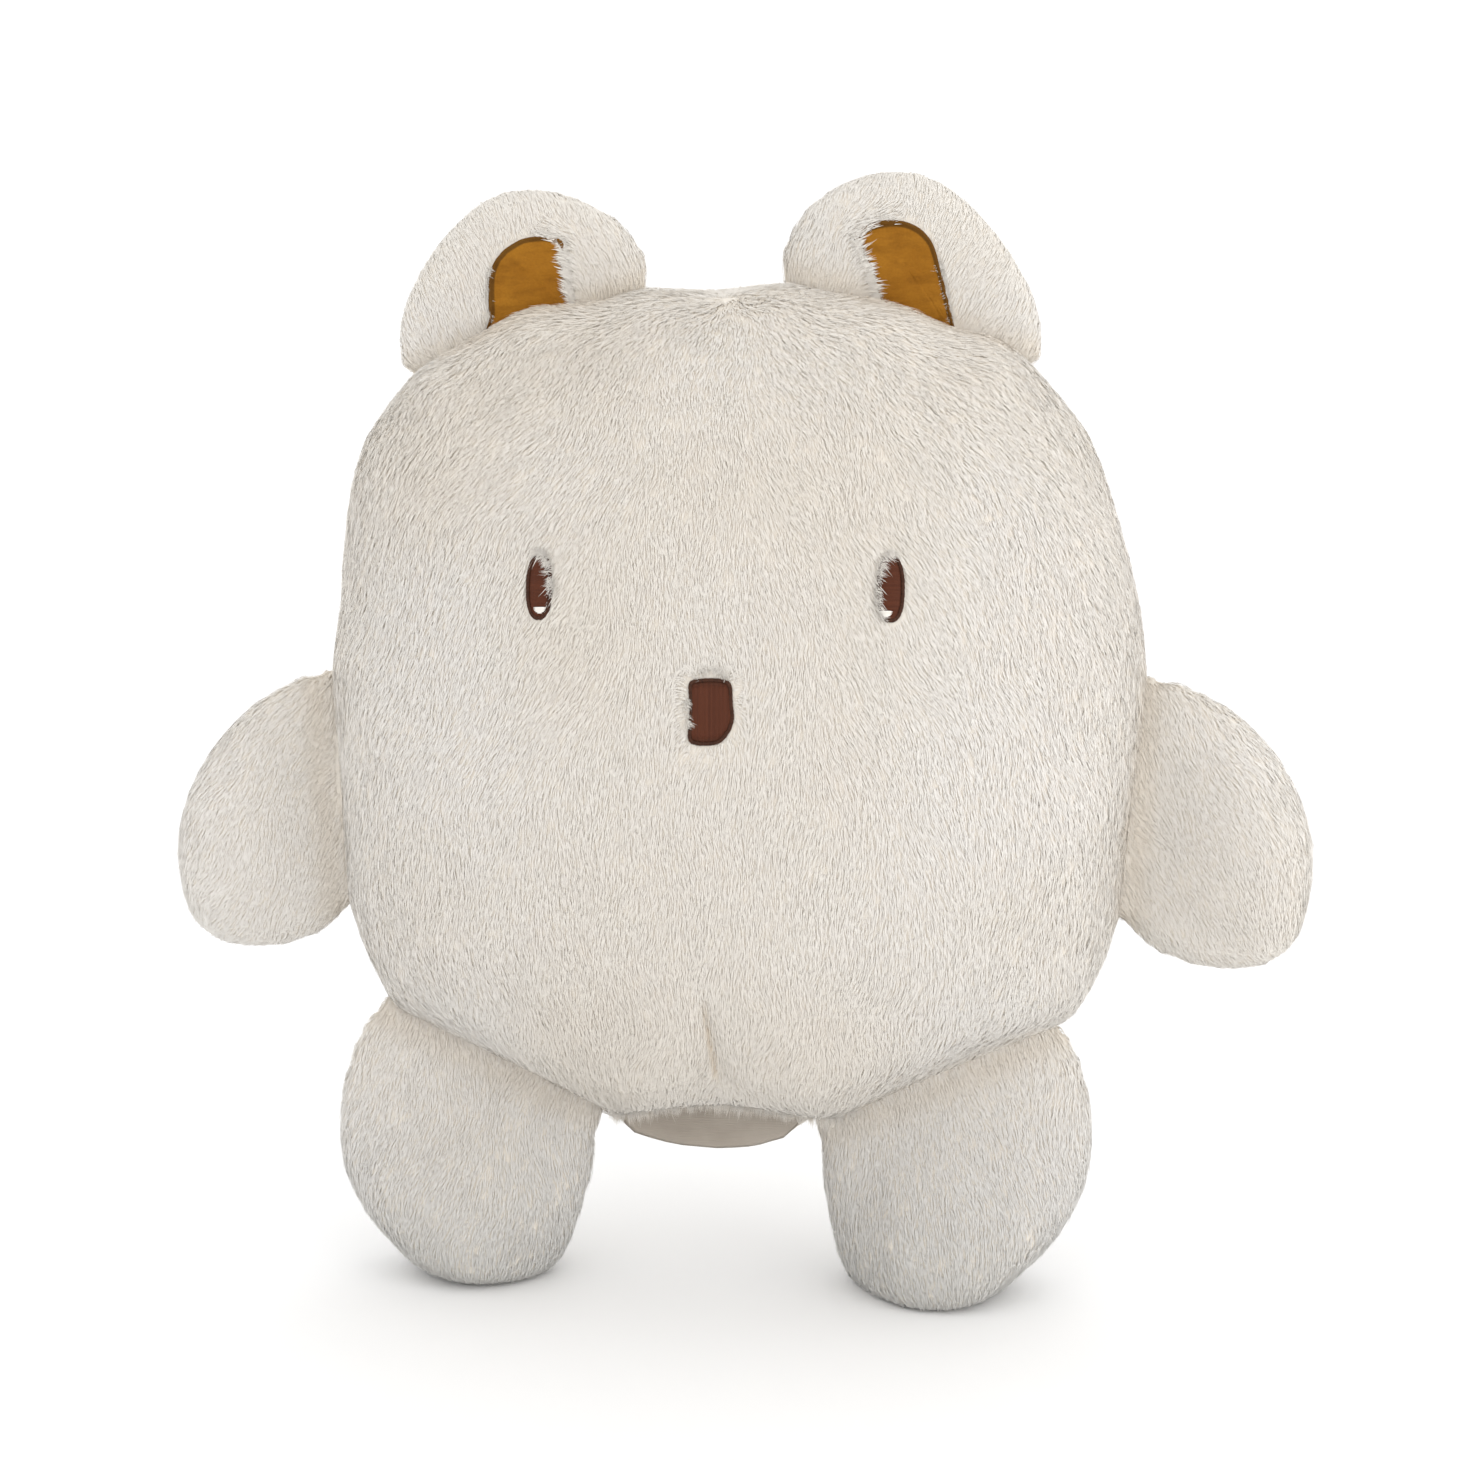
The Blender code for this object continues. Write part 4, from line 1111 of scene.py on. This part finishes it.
# Limbs
for kind in ("arm", "leg", "ear"):
    for hand in hands:
        limb = f"{kind}_{hand}"
        place, out = hinge_frame(limb)
        nodes = [f"{limb}_{part}" for part in ("front_panel", "back_panel", "stuffing")]

        def hold_of_limb(points):
            from_root = 1 - smooth_step((points - place) @ out, 0.001, 0.009)
            on_sole = 1 - smooth_step(points[:, 2], 0.004, 0.009)
            on_seam = 1 - smooth_step(np.abs(points[:, 1] - seam_y), 0.003, 0.009)
            return np.maximum(np.maximum(from_root, on_sole), on_seam)

        skin = make_skin(f"{limb}_skin", nodes, hold_of_limb, limb)
        move_points(skin.data, lean_limb(limb, points_of(skin.data)))
        patch = closed_curve(patch_outlines[limb], 8) * 0.001 if kind == "ear" else None
        inner = -np.sign(place[0])

        def over_patch_edge(roots):
            """1 at the inner edge of the suede, which the pile falls over, to 0 a little way off."""
            if kind != "ear":
                return np.zeros(len(roots))
            beside = smooth_step((roots[:, 0] - patch[:, 0].mean()) * inner, 0.001, 0.005)
            near = 1 - smooth_step(share_of_reach(patch, roots[:, (0, 2)]), 1.0, 1.5)
            return beside * near * (roots[:, 1] < seam_y)

        def clear(roots, outward):
            kept = (roots - place) @ out > -0.004
            if kind == "ear":
                share = share_of_reach(patch, roots[:, (0, 2)])
                kept &= (share > 0.985 - 0.10 * over_patch_edge(roots)) | (outward[:, 1] > 0)
            return kept

        def comb(roots, outward):
            if kind == "ear":
                inwards = np.array((-inner * 2.4, 0, -0.6)) * over_patch_edge(roots)[:, None]
                return out + np.array((0, 0, 0.2)) + inwards
            return np.tile(out * 0.6 + down, (len(roots), 1))

        def shares(roots):
            near = over_patch_edge(roots)
            return 1 - 0.15 * near, 1 + near

        # Painted shade: the limb's pile darkens towards tan at its root
        def crease_shade(roots):
            return 0.6 * bell((roots - place) @ out, 0, crease_shade_width)

        strands = grow_pile(f"{limb}_pile", skin, comb, clear, shares, crease_shade, limb_coolness, 11)
        if kind == "ear":
            ear_tree = tree_of(skin.data)

            def front_of_ear(x, z):
                """As front_of, or the nearest place for a point beside the ear."""
                hit, facing = front_of(ear_tree, x, z)
                if hit is None:
                    hit, facing, _, _ = ear_tree.find_nearest(Vector((x, seam_y - 0.006, z)))
                return hit, facing

            rings = [(share, patch_height) for share in (0.15, 0.3, 0.45, 0.6, 0.72, 0.82)]
            rings += [(0.87, patch_height), (0.905, patch_height + hem_height * 0.8)]
            rings += [(0.945, patch_height + hem_height), (0.98, patch_height + hem_height * 0.7)]
            rings += [(1.0, patch_height * 0.4), (0.99, -0.0006)]
            tones = np.array((1, 1, 1, 1, 1, 0.9, 0.35, 0.25, 0.3, 0.2, 0.1, 0.1), float)
            suede = domed_sheet(f"{limb}_patch", patch, rings, front_of_ear, tan_suede, tones)
            spots = points_of(suede.data)
            creases = smooth_noise(spots * np.array((0.5, 1, 1.3)), 0.0035, 41) * 0.00036
            slanted = spots @ np.array(((0.8, 0, 0.6), (0, 1, 0), (-0.6, 0, 0.8)))
            creases += smooth_noise(slanted * np.array((0.35, 1, 1.6)), 0.0022, 42) * 0.00022
            spots[:, 1] += creases
            hidden_hem = smooth_step((spots[:, 0] - patch[:, 0].mean()) * inner, 0.0025, 0.0065)
            hidden_hem *= 1 - smooth_step(spots[:, 2], patch[:, 1].max() - 0.007, patch[:, 1].max() - 0.003)
            edge_share = share_of_reach(patch, spots[:, (0, 2)])
            spots[:, 1] += 0.0016 * hidden_hem * smooth_step(edge_share, 0.80, 0.93)
            move_points(suede.data, spots)
            shade = suede.data.attributes["tone"].data
            tones = np.empty(len(spots), np.float32)
            shade.foreach_get("value", tones)
            shade.foreach_set("value", np.maximum(tones, 0.85 * hidden_hem).astype(np.float32))
            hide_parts(f"{limb}_inner_patch")
            rng = np.random.default_rng(83)
            edge = patch[rng.integers(0, len(patch), 260)]
            offset = edge - patch.mean(0)
            inner_side = offset[:, 0] * inner > 0.004
            outer_low = (offset[:, 0] * inner < -0.004) & (offset[:, 1] < 0.002)
            chosen = inner_side | (outer_low & (rng.random(len(edge)) < 0.6))
            edge, offset, inner_side = edge[chosen], offset[chosen], inner_side[chosen]
            sideways = -np.sign(offset[:, 0]) * rng.uniform(0.7, 1.2, len(edge))
            lean = np.stack([sideways, rng.uniform(-0.7, 0.3, len(edge))], 1)
            longer = rng.uniform(0.0016, 0.0036, len(edge))
            reach = np.where(inner_side, longer, rng.uniform(0.0008, 0.0018, len(edge)))
            starts = edge + unit(offset) * 0.0007
            strands.append(grow_locks(f"{limb}_locks", starts, lean, reach, 0.0010, front_of_ear, 34))
            strands.append(suede)
        for piece in (skin, *strands):
            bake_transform(piece)
        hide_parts(*nodes)

# Pouch
for k, wall in enumerate(("front", "back")):
    node_name = f"pouch_{wall}_lining"
    low, high = (np.array(corner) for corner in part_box(node_name))
    spots = points_of(frame["nodes"][node_name].data)
    rim = spots[spots[:, 1] < low[1] + 1e-5][:, (0, 2)]
    from_middle = rim - (low + high)[[0, 2]] / 2
    rim = rim[np.argsort(np.arctan2(from_middle[:, 1], from_middle[:, 0]))]
    rim = evenly_round(rim, lambda length: lining_rim_points)

    def place_of_wall(x, z):
        return (x, (low[1] + high[1]) / 2, z), (0, -1, 0)

    shares = np.concatenate([np.linspace(0.1, 0.9, 12), (0.93, 0.955, 0.975, 0.99)])
    rings = [(share, lining_thickness / 2) for share in shares]
    rings += [(0.998, 0.0), *((share, -lining_thickness / 2) for share in shares[::-1])]
    lining = domed_sheet(f"pouch_{wall}_wall", rim, rings, place_of_wall, lining_cloth)
    spots = widened_lip(points_of(lining.data)) if wall == "back" else points_of(lining.data)
    near_lip = 1 - smooth_step(spots[:, 2:], 0.040, 0.060)
    spots[:, (0, 2)] += spots[:, (0, 2)] * np.array((0.05, -0.03)) * near_lip
    flat = spots * np.array((1, 0, 1))
    folds = 0.0005 * smooth_noise(flat, 0.014, 61 + k)
    folds += 0.0003 * smooth_noise(flat * np.array((1, 1, 0.4)), 0.005, 63 + k)
    spots[:, 1] += folds
    move_points(lining.data, spots)
    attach(lining, "torso")
    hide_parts(node_name)

# Floor, light and camera
floor_shape = bmesh.new()
bmesh.ops.create_circle(floor_shape, cap_ends=True, radius=4.0, segments=64)
floor_mesh = bpy.data.meshes.new("floor")
floor_shape.to_mesh(floor_mesh)
floor_shape.free()
floor = bpy.data.objects.new("floor", floor_mesh)
floor_mesh.materials.append(floor_material())
bpy.context.scene.collection.objects.link(floor)

world = bpy.data.worlds.new("studio")
world.use_nodes = True
world.node_tree.nodes["Background"].inputs["Color"].default_value = (1, 1, 1, 1)
world.node_tree.nodes["Background"].inputs["Strength"].default_value = 1.20
bpy.context.scene.world = world


def area_light(name, place, target, size, power, colour):
    light = bpy.data.lights.new(name, "AREA")
    light.shape = "DISK"
    light.size = size
    light.energy = power
    light.color = colour
    lamp = bpy.data.objects.new(name, light)
    lamp.location = place
    lamp.rotation_euler = (Vector(target) - Vector(place)).to_track_quat("-Z", "Y").to_euler()
    bpy.context.scene.collection.objects.link(lamp)


area_light("key", (1.25, -0.8, 0.40), (0, 0, 0.18), 1.3, 5.0, (1.0, 0.98, 0.95))

azimuth, elevation, roll = (math.radians(a) for a in (4.3, 0.3, 0.33))
distance, field = 0.4555, math.radians(52.93)
level = math.cos(elevation)
back = Vector((math.sin(azimuth) * level, -math.cos(azimuth) * level, math.sin(elevation)))
lens = bpy.data.cameras.new("camera")
lens.sensor_width = 36
lens.lens = 18 / math.tan(field / 2)
lens.clip_start = 0.01
camera = bpy.data.objects.new("camera", lens)
right = Vector((math.cos(azimuth), math.sin(azimuth), 0))
up = back.cross(right)
camera.location = Vector((0, 0, 0.17)) + back * distance + right * 0.0015 + up * 0.0008
turned_right = right * math.cos(roll) + up * math.sin(roll)
turned_up = back.cross(turned_right)
camera.rotation_euler = Matrix((turned_right, turned_up, back)).transposed().to_euler()
bpy.context.scene.collection.objects.link(camera)
bpy.context.scene.camera = camera
bpy.context.scene.view_settings.view_transform = "Standard"
